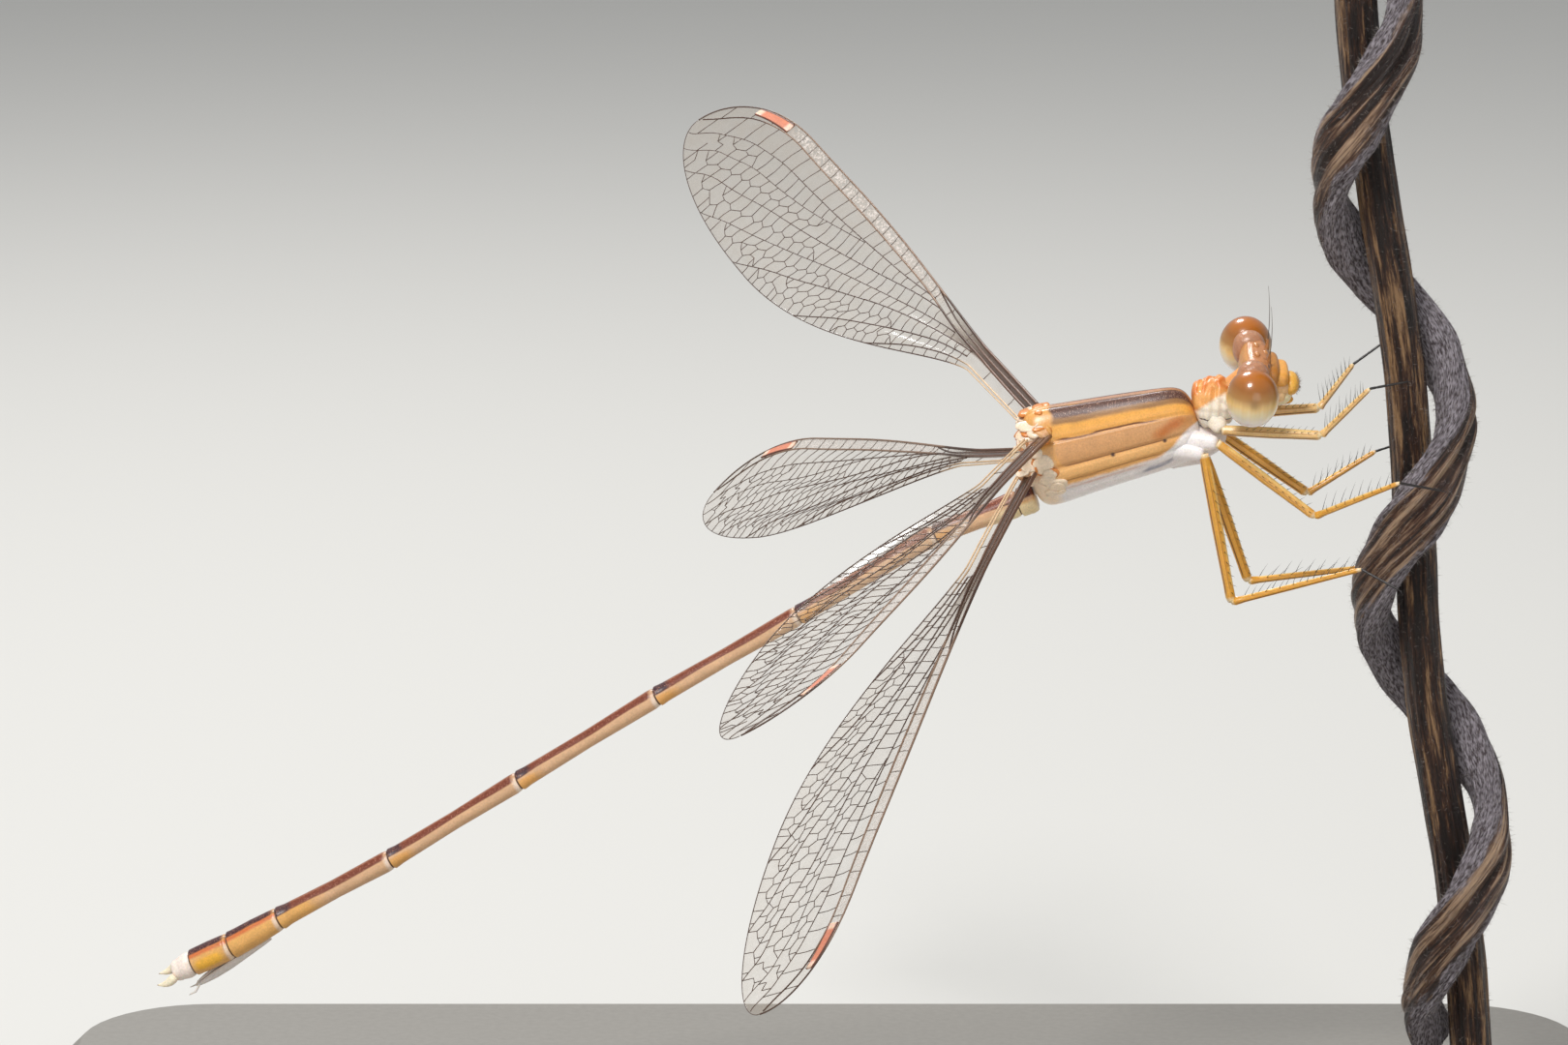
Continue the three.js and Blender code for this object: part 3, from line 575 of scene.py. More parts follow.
# %% [markdown]
# ## Down on the vine
#
# Stem and vine are covered with minute hairs that show as a fringe against the light. Each is a
# three-sided cone of a few faces, rooted just under the skin at a place drawn at random, so that
# thousands of them stay one light mesh.

# %% Down


def skin_samples(grid, count, seed):
    """Random places on a grid's surface, with their outward directions, their directions along the
    grid and their unwrap (u, v). Outward is round × along, turned away from the ring's middle."""
    draw = np.random.default_rng(seed)
    rows, columns = grid.shape[1:3]
    row = draw.integers(1, rows - 1, count)
    column = draw.integers(0, columns, count)
    here = grid[0, row, column]
    down = grid[0, row + 1, column] - grid[0, row - 1, column]
    round_it = grid[0, row, (column + 1) % columns] - grid[0, row, column - 1]
    out = unit(np.cross(round_it, down))
    out *= np.sign((out * (here - grid[0, row].mean(axis=1))).sum(axis=-1, keepdims=True))
    return here, out, unit(down), np.stack([column / columns, row / rows], axis=-1)


def down_on(grid, count, seed, shortest, longest, thick):
    """Short hairs on a skin: direction = outward + a random lean, length drawn between two limits."""
    roots, out, _, place = skin_samples(grid, count, seed)
    draw = np.random.default_rng(seed + 1)
    directions = unit(out + draw.normal(0, 0.35, out.shape))
    lengths = draw.uniform(shortest, longest, count)
    droop = draw.normal(0, 0.15, (count, 1, 3))
    return bristles(roots, directions, lengths, thick, droop, place)


# Dry hairs are pale and dull, and catch the light only at the edges of stem and vine.
dry = {"Roughness": 0.7, "IOR": 1.53}
down_hair = drifting("plant hair, dry cellulose", dry, 0.8, ("#6E625A", "#B9B2AC"))[0]

make_piece("stem_down", down_on(stem, 1800, 11, 0.06, 0.18, 0.006), down_hair)
make_piece("vine_down", down_on(vine, 7000, 13, 0.06, 0.22, 0.006), down_hair)

# %% [markdown]
# ## Cuticle
#
# An insect's shell is chitin, tanned by its own chemistry: a thin, slightly translucent skin with a
# satin shine. Its pattern lies in patches and bands that follow the body, so each band is worked out
# as a mask from the way round and the way along, and one function lays the colours over each other
# by their masks. A little noise frays every edge, as the real pigment does. The cells of the shell
# are about 0.01 mm across, too fine for this view, so their relief is drawn at 0.05 mm.

# %% Cuticle finish
# Under the skin red light travels furthest, then green, then blue.
RED_DEEPEST = (1.0, 0.45, 0.2)


def cuticle(name, base, layers=(), rough=0.36, fray=0.5, grain=0.05, bump=0.006, glow=0.12, painted_glints=None):
    """Tanned chitin: the base colour, each (mask, colour) laid over it, then mottling and fine relief.
    Painted glints are fine bright points of a colour inside one mask: painted highlights for the sparkle of
    a metallic shell."""
    skin = {"Roughness": rough, "IOR": 1.54}
    under_skin = {"Subsurface Weight": glow, "Subsurface Radius": RED_DEEPEST, "Subsurface Scale": 0.15 * MM}
    material, tree, shader = new_finish(name, {**skin, **under_skin})
    place = add(tree, "TexCoord")
    cells = add(tree, "TexNoise", {"Scale": scale_for(grain), "Detail": 4.0}, {"Vector": place})
    mottling = {"Scale": scale_for(0.45), "Detail": 6.0, "Roughness": 0.65}
    broad = add(tree, "TexNoise", mottling, {"Vector": place})
    shift = add(tree, "Math", {"operation": "SUBTRACT", 1: 0.5}, {0: broad})
    colour = None
    for mask, tint in layers:
        amount = add(tree, "Attribute", {"attribute_name": mask})
        frayed = add(tree, "Math", {"operation": "MULTIPLY_ADD", 1: fray}, {0: shift, 2: amount})
        edge = add(tree, "MapRange", {"From Min": 0.25, "From Max": 0.75}, {"Value": frayed})
        both = {"data_type": "RGBA", MIX_A: base, MIX_B: tint}
        colour = add(tree, "Mix", both, {"Factor": edge, MIX_A: colour})
    shade = add(tree, "MapRange", {"To Min": 0.78, "To Max": 1.18}, {"Value": broad})
    contrast = {"From Min": 0.3, "From Max": 0.7, "To Min": 0.88, "To Max": 1.1}
    fine = add(tree, "MapRange", contrast, {"Value": cells})
    both = add(tree, "Math", {"operation": "MULTIPLY"}, {0: shade, 1: fine})
    top = add(tree, "HueSaturation", {"Color": base}, {"Color": colour, "Value": both})
    # Painted highlight: bright points laid into the colour stand in for the glints of a metallic shine.
    if painted_glints:
        mask, tint = painted_glints
        amount = add(tree, "Attribute", {"attribute_name": mask})
        points = add(tree, "TexNoise", {"Scale": scale_for(0.03), "Detail": 1.0}, {"Vector": place})
        bright = add(tree, "MapRange", {"From Min": 0.6, "From Max": 0.7}, {"Value": points})
        spark = add(tree, "Math", {"operation": "MULTIPLY"}, {0: bright, 1: amount})
        top = add(tree, "Mix", {"data_type": "RGBA", MIX_B: tint}, {"Factor": spark, MIX_A: top})
    relief = add(tree, "Bump", {"Strength": 0.6, "Distance": bump * MM}, {"Height": cells})
    feed(tree, shader, {}, {"Base Color": top, "Normal": relief})
    return material


print("relief with cells of 0.05 mm has the texture scale", round(scale_for(0.05)))

# %% [markdown]
# ## Abdomen
#
# The abdomen is ten rings of shell on a thin soft tube. Each ring is a little narrower in its middle
# and flares at its rear edge over the start of the next, so one long tube with a radius that rises
# and dips shows them all without a seam. A bronze band runs along the back, fading at each joint
# into a dark spot, a thin black ring and a pale start of the next segment.

# %% Abdomen shape
# Length, slope down towards the tail, and half thickness at the front, middle and back of each
# segment, in millimetres and degrees.
SEGMENTS = np.array(
    [
        [0.55, 22.0, 0.47, 0.47, 0.45],
        [2.72, 20.9, 0.42, 0.33, 0.34],
        [4.89, 31.3, 0.32, 0.28, 0.32],
        [5.06, 30.5, 0.31, 0.27, 0.32],
        [5.02, 32.1, 0.31, 0.27, 0.32],
        [4.71, 32.1, 0.31, 0.27, 0.33],
        [3.95, 28.6, 0.32, 0.29, 0.37],
        [1.75, 29.8, 0.37, 0.41, 0.43],
        [1.31, 25.0, 0.42, 0.43, 0.42],
        [0.70, 27.0, 0.40, 0.38, 0.33],
    ]
)
ABDOMEN_START = np.array([7.7, 0.0, 0.82])
JOINTS = np.concatenate([[0], np.cumsum(SEGMENTS[:, 0])])


def abdomen_line(s):
    """The middle line at a distance s from the thorax: the integral of the slopes, smoothed over 0.6 mm."""
    fine = np.linspace(-1, JOINTS[-1] + 1, 4000)
    which = np.clip(np.searchsorted(JOINTS, fine) - 1, 0, len(SEGMENTS) - 1)
    slope = np.radians(SEGMENTS[which, 1])
    window = np.ones(70) / 70
    slope = np.convolve(np.pad(slope, 35, mode="edge"), window, mode="same")[35:-35]
    step = fine[1] - fine[0]
    x = -np.cumsum(np.cos(slope)) * step
    z = -np.cumsum(np.sin(slope)) * step
    x -= np.interp(0, fine, x)
    z -= np.interp(0, fine, z)
    return ABDOMEN_START + np.stack([np.interp(s, fine, x), 0 * s, np.interp(s, fine, z)], axis=-1)


def abdomen_radius(s):
    """Half thickness at s: through each segment's front, middle and back, with a dip at every joint."""
    places, sizes = [], []
    for (length, _, front, waist, back), start in zip(SEGMENTS, JOINTS):
        end = start + length
        places += [start, start + 0.09, start + 0.22, start + length / 2, end - 0.3, end - 0.04, end - 0.01]
        sizes += [front * 0.86, front * 0.96, front, waist, (back + waist) / 2, back, back * 0.94]
    return np.interp(s, places, sizes)


def joint_distance(s):
    """The segment of each place, its distance past that segment's start and the distance to its end."""
    which = np.clip(np.searchsorted(JOINTS, s, side="right") - 1, 0, len(SEGMENTS) - 1)
    return which, s - JOINTS[which], JOINTS[which + 1] - s


near_joints = [joint + np.linspace(-0.12, 0.24, 19) for joint in JOINTS[1:-1]]
s = np.unique(np.concatenate([np.linspace(0.03, JOINTS[-1] - 0.02, 620)] + near_joints))
a = round_angles(56)
off_back = off_middle(a)
path = abdomen_line(s)
# The last segment rounds off over its last 0.16 mm.
rear = np.clip((JOINTS[-1] - s)[:, None] / 0.16, 0, 1)
size = abdomen_radius(s)[:, None] * (0.55 + 0.45 * np.sqrt(1 - (1 - rear) ** 2))
# The belly has a shallow groove between the edges of the shell, and the back is a little keeled.
groove = 0.1 * hill(a, np.pi, 0.22)
size = size * (1 - groove + 0.025 * hill(np.minimum(a, TURN - a), 0, 0.3))
up = unit(np.cross(RIGHT, -np.gradient(path, axis=0)))
abdomen = path[:, None] + up[:, None] * (np.cos(a) * size)[..., None] + RIGHT * (np.sin(a) * size)[..., None]

which, behind, ahead = (value[:, None] for value in joint_distance(s))
early, late = which < 7, which == 9
band_width = np.where(early, 50 + 3 * np.sin(2.1 * s[:, None]), np.where(late, 7, 24))
band = soft_drop(off_back, band_width - 10, band_width + 10)
band = band * (1 - 0.6 * soft_drop(behind, 0.06, 0.3) * (which > 0))
tip_spot = band * np.where(early, soft_drop(ahead, 0.25, 0.75), 0.85 * ~late)
ring = np.maximum(soft_drop(ahead, 0.015, 0.045), soft_drop(behind, 0.02, 0.045)) * (which > 0)
pale = soft_drop(behind, 0.08, 0.3) * (which > 1) * (1 - ring) * soft_step(off_back, 20, 60)
masks = {
    "band": band,
    "keel": soft_drop(off_back, 2, 7) * early,
    "tip_spot": tip_spot,
    "ring": ring * 0.85,
    "pale": pale * 0.62,
    "side_glow": soft_drop(ahead, 0.2, 1.3) * early * between(off_back, 62, 140, 16) * 0.9,
    "cream": soft_drop(s, 0.7, 2.3)[:, None] * soft_step(off_back, 50, 90),
    "orange": between(s[:, None], JOINTS[6] + 2.6, JOINTS[9], 0.9),
    "ember": between(off_back, band_width - 4, band_width + 22, 12) * (which >= 7) * ~late * 0.8,
    "yellow": between(s[:, None], JOINTS[8] + 0.3, JOINTS[9] - 0.1, 0.25) * between(off_back, 62, 110, 16),
    "white": soft_step(s[:, None], JOINTS[9] - 0.02, JOINTS[9] + 0.05),
    "belly": soft_step(off_back, 158, 172) * 0.8,
}
print("abdomen is", round(float(JOINTS[-1]), 1), "mm long")

# %% Abdomen finish and piece
# Bronze above and tan below, with painted glints, bright points in the bronze that stand in for its sparkle,
# gives the back its metallic look.
abdomen_cuticle = cuticle(
    "abdomen cuticle, tanned chitin",
    "#D9AE86",
    [
        ("side_glow", "#DFA45C"),
        ("orange", "#E2AA60"),
        ("cream", "#EBD2A2"),
        ("ember", "#CC6E34"),
        ("yellow", "#F0B43E"),
        ("belly", "#B98C62"),
        ("band", "#74341C"),
        ("keel", "#A8714E"),
        ("tip_spot", "#3E2026"),
        ("white", "#F2E2D6"),
        ("pale", "#F0DECE"),
        ("ring", "#553524"),
    ],
    rough=0.33,
    painted_glints=("band", "#C98E74"),
)
segments = [f"abdomen_{number}" for number in range(1, len(SEGMENTS) + 1)]
make_piece("abdomen_skin", body(abdomen[None], **masks), abdomen_cuticle, segments)

# %% [markdown]
# ## Tail end
#
# A female lays eggs into plants with an ovipositor: two flat valves under the last segments that
# hold the blades between them, with a fine feeler at each valve's tip. Two short cone-shaped
# appendages, the cerci, end the body. All are small tubes with their own sections.

# %% Ovipositor and cerci
OVIPOSITOR = {"length": 2.8, "start": 0.55, "drop": 0.38, "wide": 0.08, "deep": 0.14}
OVIPOSITOR_SLOPE = np.radians(3.5)
CERCUS = {"length": 0.54, "radius": 0.17, "apart": 0.34, "spread": np.radians(8), "sunk": 0.1}


def segment_axes(index):
    """Start and frame of one abdominal segment, looking forward."""
    start = abdomen_line(JOINTS[index : index + 1])[0]
    slope = np.radians(SEGMENTS[index, 1])
    return start, body_frame([np.cos(slope), 0, np.sin(slope)])


start, axes = segment_axes(7)
t = np.linspace(0, 1, 60)
along = OVIPOSITOR["start"] + OVIPOSITOR["length"] * t
drop = OVIPOSITOR["drop"] + along * np.tan(OVIPOSITOR_SLOPE)
fullness = np.interp(t, [0, 0.1, 0.3, 0.55, 0.75, 0.9, 1], [0.2, 0.45, 0.7, 1, 0.95, 0.6, 0.15])
thin = np.array([0.04, 0.035, 0.015])
valves = []
for side in (-1, 1):
    line = placed(start, axes, -along, -drop, side * 0.12)
    valve = tube(line, OVIPOSITOR["wide"] * fullness, OVIPOSITOR["deep"] * fullness, 28, RIGHT)
    valves.append(body(valve, rim=soft_step(np.abs(np.sin(round_angles(28))), 0.93, 0.995)))
    apart = side * np.array([0.0, 0.08, 0.1])
    feeler = placed(line[-3], axes, [0.05, -0.2, -0.42], [0.02, -0.12, -0.1], apart)
    valves.append(body(tube(feeler, thin, thin, 8, RIGHT), rim=0.0))
# A pale, waxy skin with a dark cutting edge.
ovipositor_cuticle = cuticle("ovipositor cuticle, pale chitin", "#DAD0C8", [("rim", "#5A4A44")], rough=0.42)
make_piece("ovipositor_valves", joined(valves), ovipositor_cuticle, ["ovipositor"])

axes = segment_axes(9)[1]
end = abdomen_line(JOINTS[-1:])[0]
t = np.linspace(0, 1, 36)
ahead = CERCUS["sunk"] - t * (CERCUS["length"] + CERCUS["sunk"])
radius = CERCUS["radius"] * np.interp(t, [0, 0.15, 0.4, 0.7, 0.9, 1], [0.8, 0.95, 0.85, 0.52, 0.22, 0.05])
tip = soft_step(t, 0.9, 1.0)[:, None]
# Cream cones with brown points.
cercus_cuticle = cuticle("cercus cuticle, cream chitin", "#F0E2C4", [("tip", "#8A6A48")], rough=0.4)
for name, side in (("cercus_right", 1), ("cercus_left", -1)):
    out = side * (CERCUS["apart"] + np.tan(CERCUS["spread"]) * t * CERCUS["length"] - 0.1 * t**2)
    line = placed(end, axes, ahead, 0.02 - 0.08 * np.sin(np.pi * t), out)
    cone = tube(line, radius, radius * 0.9, 24, RIGHT)
    make_piece(f"{name}_skin", body(cone, tip=tip), cercus_cuticle, [name])

# %% [markdown]
# ## Thorax
#
# The wings and legs are driven from a box of plates joined at sutures. Its section is an egg that is
# deep at the wings and shallow at the neck. Here the sutures are narrow grooves at fixed angles from
# the back, with a fine keel along the middle of the back. The stripes follow the same angles, which
# is why the masks are written in degrees from the back down to the belly.

# %% Thorax shape
THORAX_REAR = np.array([7.35, 0, 1.95])
THORAX_FRONT = np.array([12.62, 0, 3.22])
THORAX = {"tall": 1.68, "low": 1.19, "flat": 0.7}
# Each suture's angle from the back in degrees, and how deep its groove is.
SUTURES = [(57, 0.06), (88, 0.05), (106, 0.03), (124, 0.03)]
thorax_axes = body_frame(THORAX_FRONT - THORAX_REAR)
thorax_length = np.linalg.norm(THORAX_FRONT - THORAX_REAR)
thorax_rows, thorax_columns = 180, 180


def thorax_grid(rows, columns):
    """Ring point: up·cos a·high and right·sin a·high·flat·(1 − 0.2 cos a), less the suture grooves.
    High runs from tall to low and rounds off at both ends as (1 − |2s − 1|^12)^0.5."""
    s = eased(rows, 0.004)
    a = round_angles(columns)
    rounding = np.maximum(1 - np.abs(2 * s - 1) ** 12, 0) ** 0.5
    high = (THORAX["tall"] + (THORAX["low"] - THORAX["tall"]) * s) * rounding
    angle = off_middle(a)
    groove = sum(depth * hill(angle, at, 2.4) for at, depth in SUTURES)
    # The plates between the sutures swell a little.
    plates = 0.035 * between(angle, 60, 86, 9) + 0.03 * between(angle, 90, 104, 6)
    plates = plates + 0.02 * between(angle, 6, 54, 8)
    keel = 0.05 * hill(angle, 0, 2.5)
    dimple = 0.02 * np.sin(9 * s + 2 * np.sin(a)) * np.sin(3 * a)
    shape = 1 + (plates - groove + keel) * between(s, 0.05, 0.97, 0.03) + 0.4 * dimple
    wide = high * THORAX["flat"] * (1 - 0.2 * np.cos(a))
    up = np.cos(a) * high * shape
    return placed(THORAX_REAR, thorax_axes, s * thorax_length, up, np.sin(a) * wide * shape)[None], s, angle


thorax, s, angle = thorax_grid(thorax_rows, thorax_columns)
wobble = 2.0 * np.sin(14 * s) + 1.0 * np.sin(31 * s)
middle = between(s + 0.01 * np.sin(0.2 * angle), 0.2, 0.985, 0.03)
amber_reach = between(s + 0.003 * (angle - 70), 0.76, 0.95, 0.09)
two_places = hill(s, 0.5, 0.016) + hill(s, 0.8, 0.016)
thorax_masks = {
    "carina": soft_drop(angle, 1.5, 4.5) * middle,
    "bronze": between(angle + 0.4 * wobble, 3, 29, 6) * middle,
    "bronze_edge": between(angle + wobble, 24, 41, 8) * middle * 0.8,
    "yellow": between(angle, 40, 56, 7) * between(s, 0.17, 1.0, 0.05),
    "humeral": between(angle + 0.5 * wobble, 55.8, 58.4, 1.0) * between(s, 0.2, 0.8, 0.06) * 0.9,
    "tan": between(angle, 59, 88, 3) * middle,
    "patch": between(angle + 2 * wobble, 61, 80, 9) * amber_reach * 0.75,
    "suture": between(angle, 87.2, 89.4, 0.7) * between(s, 0.22, 0.8, 0.03) * 0.75,
    "spots": hill(angle, 89, 3.0) * two_places,
    "orange": between(angle, 90, 104, 5) * between(s, 0.14, 0.8, 0.08),
    "line": between(angle + 0.3 * wobble, 105, 107.5, 0.9) * between(s, 0.18, 0.78, 0.05) * 0.7,
    "bloom": soft_step(angle + 34 * soft_step(s, 0.72, 1.0), 104, 120) * soft_step(s, -0.05, 0.06),
    "rose": between(angle, 114, 119, 3) * between(s, 0.15, 0.7, 0.1) * 0.6,
    "slate": between(angle + 60 * (s - 0.8) + wobble, 118, 128, 6) * between(s, 0.62, 0.86, 0.06) * 0.62,
    "cream": soft_drop(s, 0.1, 0.24) * soft_step(angle, 50, 90) * 0.8,
}

# %% Thorax finish
# Bronze, yellow and tan stripes on the back and sides, and a white waxy bloom that dulls the belly.
thorax_cuticle = cuticle(
    "thorax cuticle, tanned chitin with wax bloom",
    "#E0A35A",
    [
        ("bronze_edge", "#9A7044"),
        ("bronze", "#593A30"),
        ("carina", "#B98A6C"),
        ("yellow", "#ECAA50"),
        ("tan", "#CC955E"),
        ("patch", "#B8661C"),
        ("orange", "#E6AE6A"),
        ("bloom", "#EFE6E2"),
        ("rose", "#C9967C"),
        ("slate", "#77778A"),
        ("humeral", "#6A3814"),
        ("suture", "#8A5524"),
        ("line", "#9A6636"),
        ("spots", "#4A2812"),
        ("plate", "#D9863E"),
        ("cream", "#F3D9BC"),
    ],
    rough=0.3,
    fray=0.6,
    # Painted glints: bright points in the bronze stripe stand in for the sparkle of its metallic shine.
    painted_glints=("bronze", "#C9A088"),
)
thorax_bodies = [body(thorax, **thorax_masks)]
print("thorax is", round(float(thorax_length), 2), "mm long")

# %% [markdown]
# ## Hips and wing hinges
#
# Where the wings leave the body there is a patch of small hard plates in soft skin, and below them
# the hips, or coxae, point forward and down. Each plate is an egg half sunk in the thorax, so the
# light breaks up round the wing roots as it does on the animal.

# %% Joints and hips
# Hip, knee, ankle and claw tip of each leg, in millimetres.
LEGS = {
    "fore_right": [(13.3, -0.62, 3.0), (16.3, -0.95, 2.9), (17.7, -1.35, 4.42), (18.85, -1.25, 4.62)],
    "fore_left": [(13.3, 0.62, 3.25), (16.38, 0.95, 3.38), (17.42, 1.2, 4.7), (18.4, 1.3, 5.4)],
    "mid_right": [(13.15, -0.85, 2.65), (16.14, -0.95, 0.39), (18.55, -2.5, 1.75), (19.9, -2.55, 1.5)],
    "mid_left": [(13.0, 0.75, 2.9), (16.06, 0.95, 0.72), (18.15, 1.2, 1.98), (19.35, 1.35, 2.35)],
    "hind_right": [(12.75, -0.8, 2.3), (13.64, -1.0, -2.27), (17.5, -1.9, -1.05), (18.6, -2.55, -1.55)],
    "hind_left": [(12.9, 0.75, 1.9), (14.28, 0.95, -2.04), (17.8, 1.05, -1.64), (18.95, 1.3, -1.85)],
}
LEGS = {name: np.array(joints) for name, joints in LEGS.items()}
# How far behind and above its joint each hip starts, inside the body.
COXA_ROOTS = {"fore": (-0.3, 0.45), "mid": (-0.95, 0.0), "hind": (-1.0, 0.12)}
WING_ROOTS = {
    "wing_fore_left": (7.58, 0.85, 3.12),
    "wing_hind_left": (7.35, 0.85, 1.95),
    "wing_fore_right": (7.72, -1.0, 2.86),
    "wing_hind_right": (7.35, -1.0, 1.68),
}
# The straight line from each wing's root to its tip.
WING_LINES = {
    "wing_fore_left": (-8.19, 18.5, 5.6),
    "wing_hind_left": (-8.06, 17.76, -4.45),
    "wing_fore_right": (-8.2, -19.0, -3.47),
    "wing_hind_right": (-8.51, -14.04, -11.42),
}


def coxa_grid(leg, hip):
    """A hip: rings from root to joint, point = root + (hip − root)·t, thinning to a rounded end."""
    back, rise = COXA_ROOTS[leg]
    root = np.array([hip[0] + back, hip[1] * 0.4, hip[2] + rise])
    t = np.linspace(0, 1, 30)
    radius = np.interp(t, [0, 0.5, 0.85, 0.96, 1], [0.36, 0.27, 0.21, 0.17, 0.11])
    return tube(along_line(root, hip, t), radius, radius * 1.1, 32, [0, 1, 0])


for name, joints in LEGS.items():
    leg = name.split("_")[0]
    if leg != "fore":
        thorax_bodies.append(body(coxa_grid(leg, joints[0]), bloom=1.0))

# The breast between the hips, dusted with white wax, closes the gaps between them.
breast = egg_grid(placed(THORAX_REAR, thorax_axes, 5.3, -0.7), thorax_axes, 0.86, 0.52, 0.8, 40, 60)
thorax_bodies.append(body(breast, bloom=1.0))
print("parts of the thorax so far:", len(thorax_bodies))

# %% Wing hinges and crumpled sides
HINGE = {"inside": 0.75, "outside": 0.12, "radius": 0.34, "plates": 22, "long": 0.2, "thin": 0.045}
HINGE_ROWS, HINGE_COLUMNS = 20, 30
SIDE_PLATES = {"count": 120, "reach": 0.2, "top": 12, "bottom": 128}
hinge_draw = np.random.default_rng(23)


def small_plate(seat, face, lean, long, thin, wide, sunk):
    """A flat rounded box that faces outwards, sunk a little, and turned square to a drawn direction."""
    forward = unit(np.cross(face, lean))
    axes = np.array([forward, face, np.cross(forward, face)])
    return egg_grid(seat - face * sunk, axes, long, thin, wide, 12, 16, 0.7)


for name, root in WING_ROOTS.items():
    out = unit(WING_LINES[name])
    shares = np.linspace(0, 1, HINGE_ROWS)
    line = along_line(root - out * HINGE["inside"], root + out * HINGE["outside"], shares)
    stout = HINGE["radius"] * np.linspace(1.25, 0.6, HINGE_ROWS)
    hinge = tube(line, stout * 1.25, stout, HINGE_COLUMNS, thorax_axes[0])
    thorax_bodies.append(body(hinge, plate=0.4, cream=0.42))
    for _ in range(HINGE["plates"]):
        row = np.argmin(np.abs(shares - hinge_draw.uniform(0.1, 0.9)))
        column = int(hinge_draw.uniform(0, TURN) / TURN * HINGE_COLUMNS) % HINGE_COLUMNS
        seat = hinge[0, row, column]
        lean = hinge_draw.normal(0, 1, 3)
        long = HINGE["long"] * hinge_draw.uniform(0.6, 1.4)
        thin = HINGE["thin"] * hinge_draw.uniform(0.7, 1.5)
        plate = small_plate(seat, unit(seat - line[row]), lean, long, thin, long * 0.7, 0.02)
        tone = hinge_draw.uniform()
        thorax_bodies.append(body(plate, plate=1.0 * (tone < 0.4), cream=1.0 * (tone > 0.55)))

# The rear quarter of the sides is crumpled into small plates: orange near the back, cream lower down.
for _ in range(SIDE_PLATES["count"]):
    off = hinge_draw.uniform(SIDE_PLATES["top"], SIDE_PLATES["bottom"])
    share = SIDE_PLATES["reach"] * hinge_draw.uniform(0, 1) * (0.7 + 0.3 * np.cos(np.radians(off * 3)))
    row = max(np.searchsorted(s[:, 0], share), 2)
    column = int(off / 360 * thorax_columns)
    column = column if hinge_draw.uniform() < 0.5 else thorax_columns - 1 - column
    seat = thorax[0, row, column]
    # Plates at the very end face half backwards.
    backwards = thorax_axes[0] * (0.5 if share < 0.03 else 0.0)
    face = unit(seat - thorax[0, row].mean(axis=0) - backwards)
    lean = hinge_draw.normal(0, 1, 3)
    long = hinge_draw.uniform(0.12, 0.32)
    thin = hinge_draw.uniform(0.04, 0.08)
    plate = small_plate(seat, face, lean, long, thin, long * hinge_draw.uniform(0.6, 1), 0.015)
    orange = hinge_draw.uniform() < 0.85 - off / 150
    thorax_bodies.append(body(plate, plate=1.0 * orange, cream=1.0 * (not orange)))
make_piece("thorax_skin", joined(thorax_bodies), thorax_cuticle, ["thorax"])

# %% [markdown]
# ## Prothorax
#
# Behind the head is a small separate ring that carries the fore legs. Its back is a crumpled orange
# plate with three low folds across it, and its sides are pale. The ring is one grid whose radius
# carries the folds, and the neck is a short tube between this ring and the head.

# %% Prothorax
PROTHORAX_CENTRE = np.array([13.02, 0, 3.75])
COLLAR = {"rear": -0.58, "front": 0.68, "high": 0.76, "wide": 0.7, "folds": 0.09, "lumps": 0.035}
HEAD_CENTRE = np.array([14.16, 0, 4.7])
prothorax_axes = body_frame([1, 0, 0.3])


def collar_grid(rows=110, columns=120):
    """Ring point: up·cos a·high·swell + right·sin a·wide·swell. Swell rounds the ends off as
    (1 − |2s − 1|^5)^0.5 and adds three folds across the back, |sin 3πs|, and small lumps."""
    s = eased(rows, 0.01)
    a = round_angles(columns)
    top = soft_step(np.cos(a), -0.1, 0.7)
    skew = s + 0.05 * np.sin(3 * a) + 0.03 * np.sin(8 * a)
    folds = COLLAR["folds"] * (np.abs(np.sin(3 * np.pi * skew)) ** 0.7 - 0.6) * (0.2 + 0.8 * top)
    coarse = np.sin(17 * s + 3 * np.sin(2 * a)) * np.sin(9 * a + 7 * s)
    relief = folds + COLLAR["lumps"] * (coarse + 0.6 * np.sin(31 * s + 6 * a))
    swell = np.sqrt(1 - np.abs(2 * s - 1) ** 5) * (1 + relief)
    ahead = COLLAR["rear"] + (COLLAR["front"] - COLLAR["rear"]) * s
    up = np.cos(a) * COLLAR["high"] * swell
    grid = placed(PROTHORAX_CENTRE, prothorax_axes, ahead, up, np.sin(a) * COLLAR["wide"] * swell)
    return grid[None], s, off_middle(a), relief


collar, s, off_back, height = collar_grid()
bodies = [
    body(
        collar,
        rust=soft_drop(off_back, 18, 60) * soft_step(height, -0.1, 0.08) * 0.9,
        pale=soft_step(off_back + 30 * s, 62, 92),
        line=between(off_back - 40 * s, 92, 97, 1.5) * between(s, 0.1, 0.9, 0.04),
    )
]
for name in ("fore_right", "fore_left"):
    bodies.append(body(coxa_grid("fore", LEGS[name][0]), pale=1.0))
neck = along_line(PROTHORAX_CENTRE, HEAD_CENTRE, np.linspace(0.1, 0.95, 20))
neck_radius = np.full(len(neck), 0.3)
bodies.append(body(tube(neck, neck_radius, neck_radius, 24, [0, 1, 0]), rust=0.35))
# Orange on top, where the folds catch the light, and a pale, slightly see-through skin below.
prothorax_cuticle = cuticle(
    "prothorax cuticle, tanned chitin",
    "#E9A862",
    [("rust", "#DA7E38"), ("pale", "#F4E6D2"), ("line", "#4A3A30")],
    glow=0.2,
)
make_piece("prothorax_skin", joined(bodies), prothorax_cuticle, ["prothorax"])

# %% [markdown]
# ## Head
#
# The head is a short bar between two bulging eyes. Its top carries three simple eyes, the ocelli,
# and the feelers. In front of it the face steps down: the brow, the clypeus as two bars, the
# labrum as a rounded flap, and the jaws below. The capsule is a rounded box with a swelling, the
# temple, beside each eye. Each bar of the face is a flat rounded box of its own, since they are hinged
# plates on the animal too.

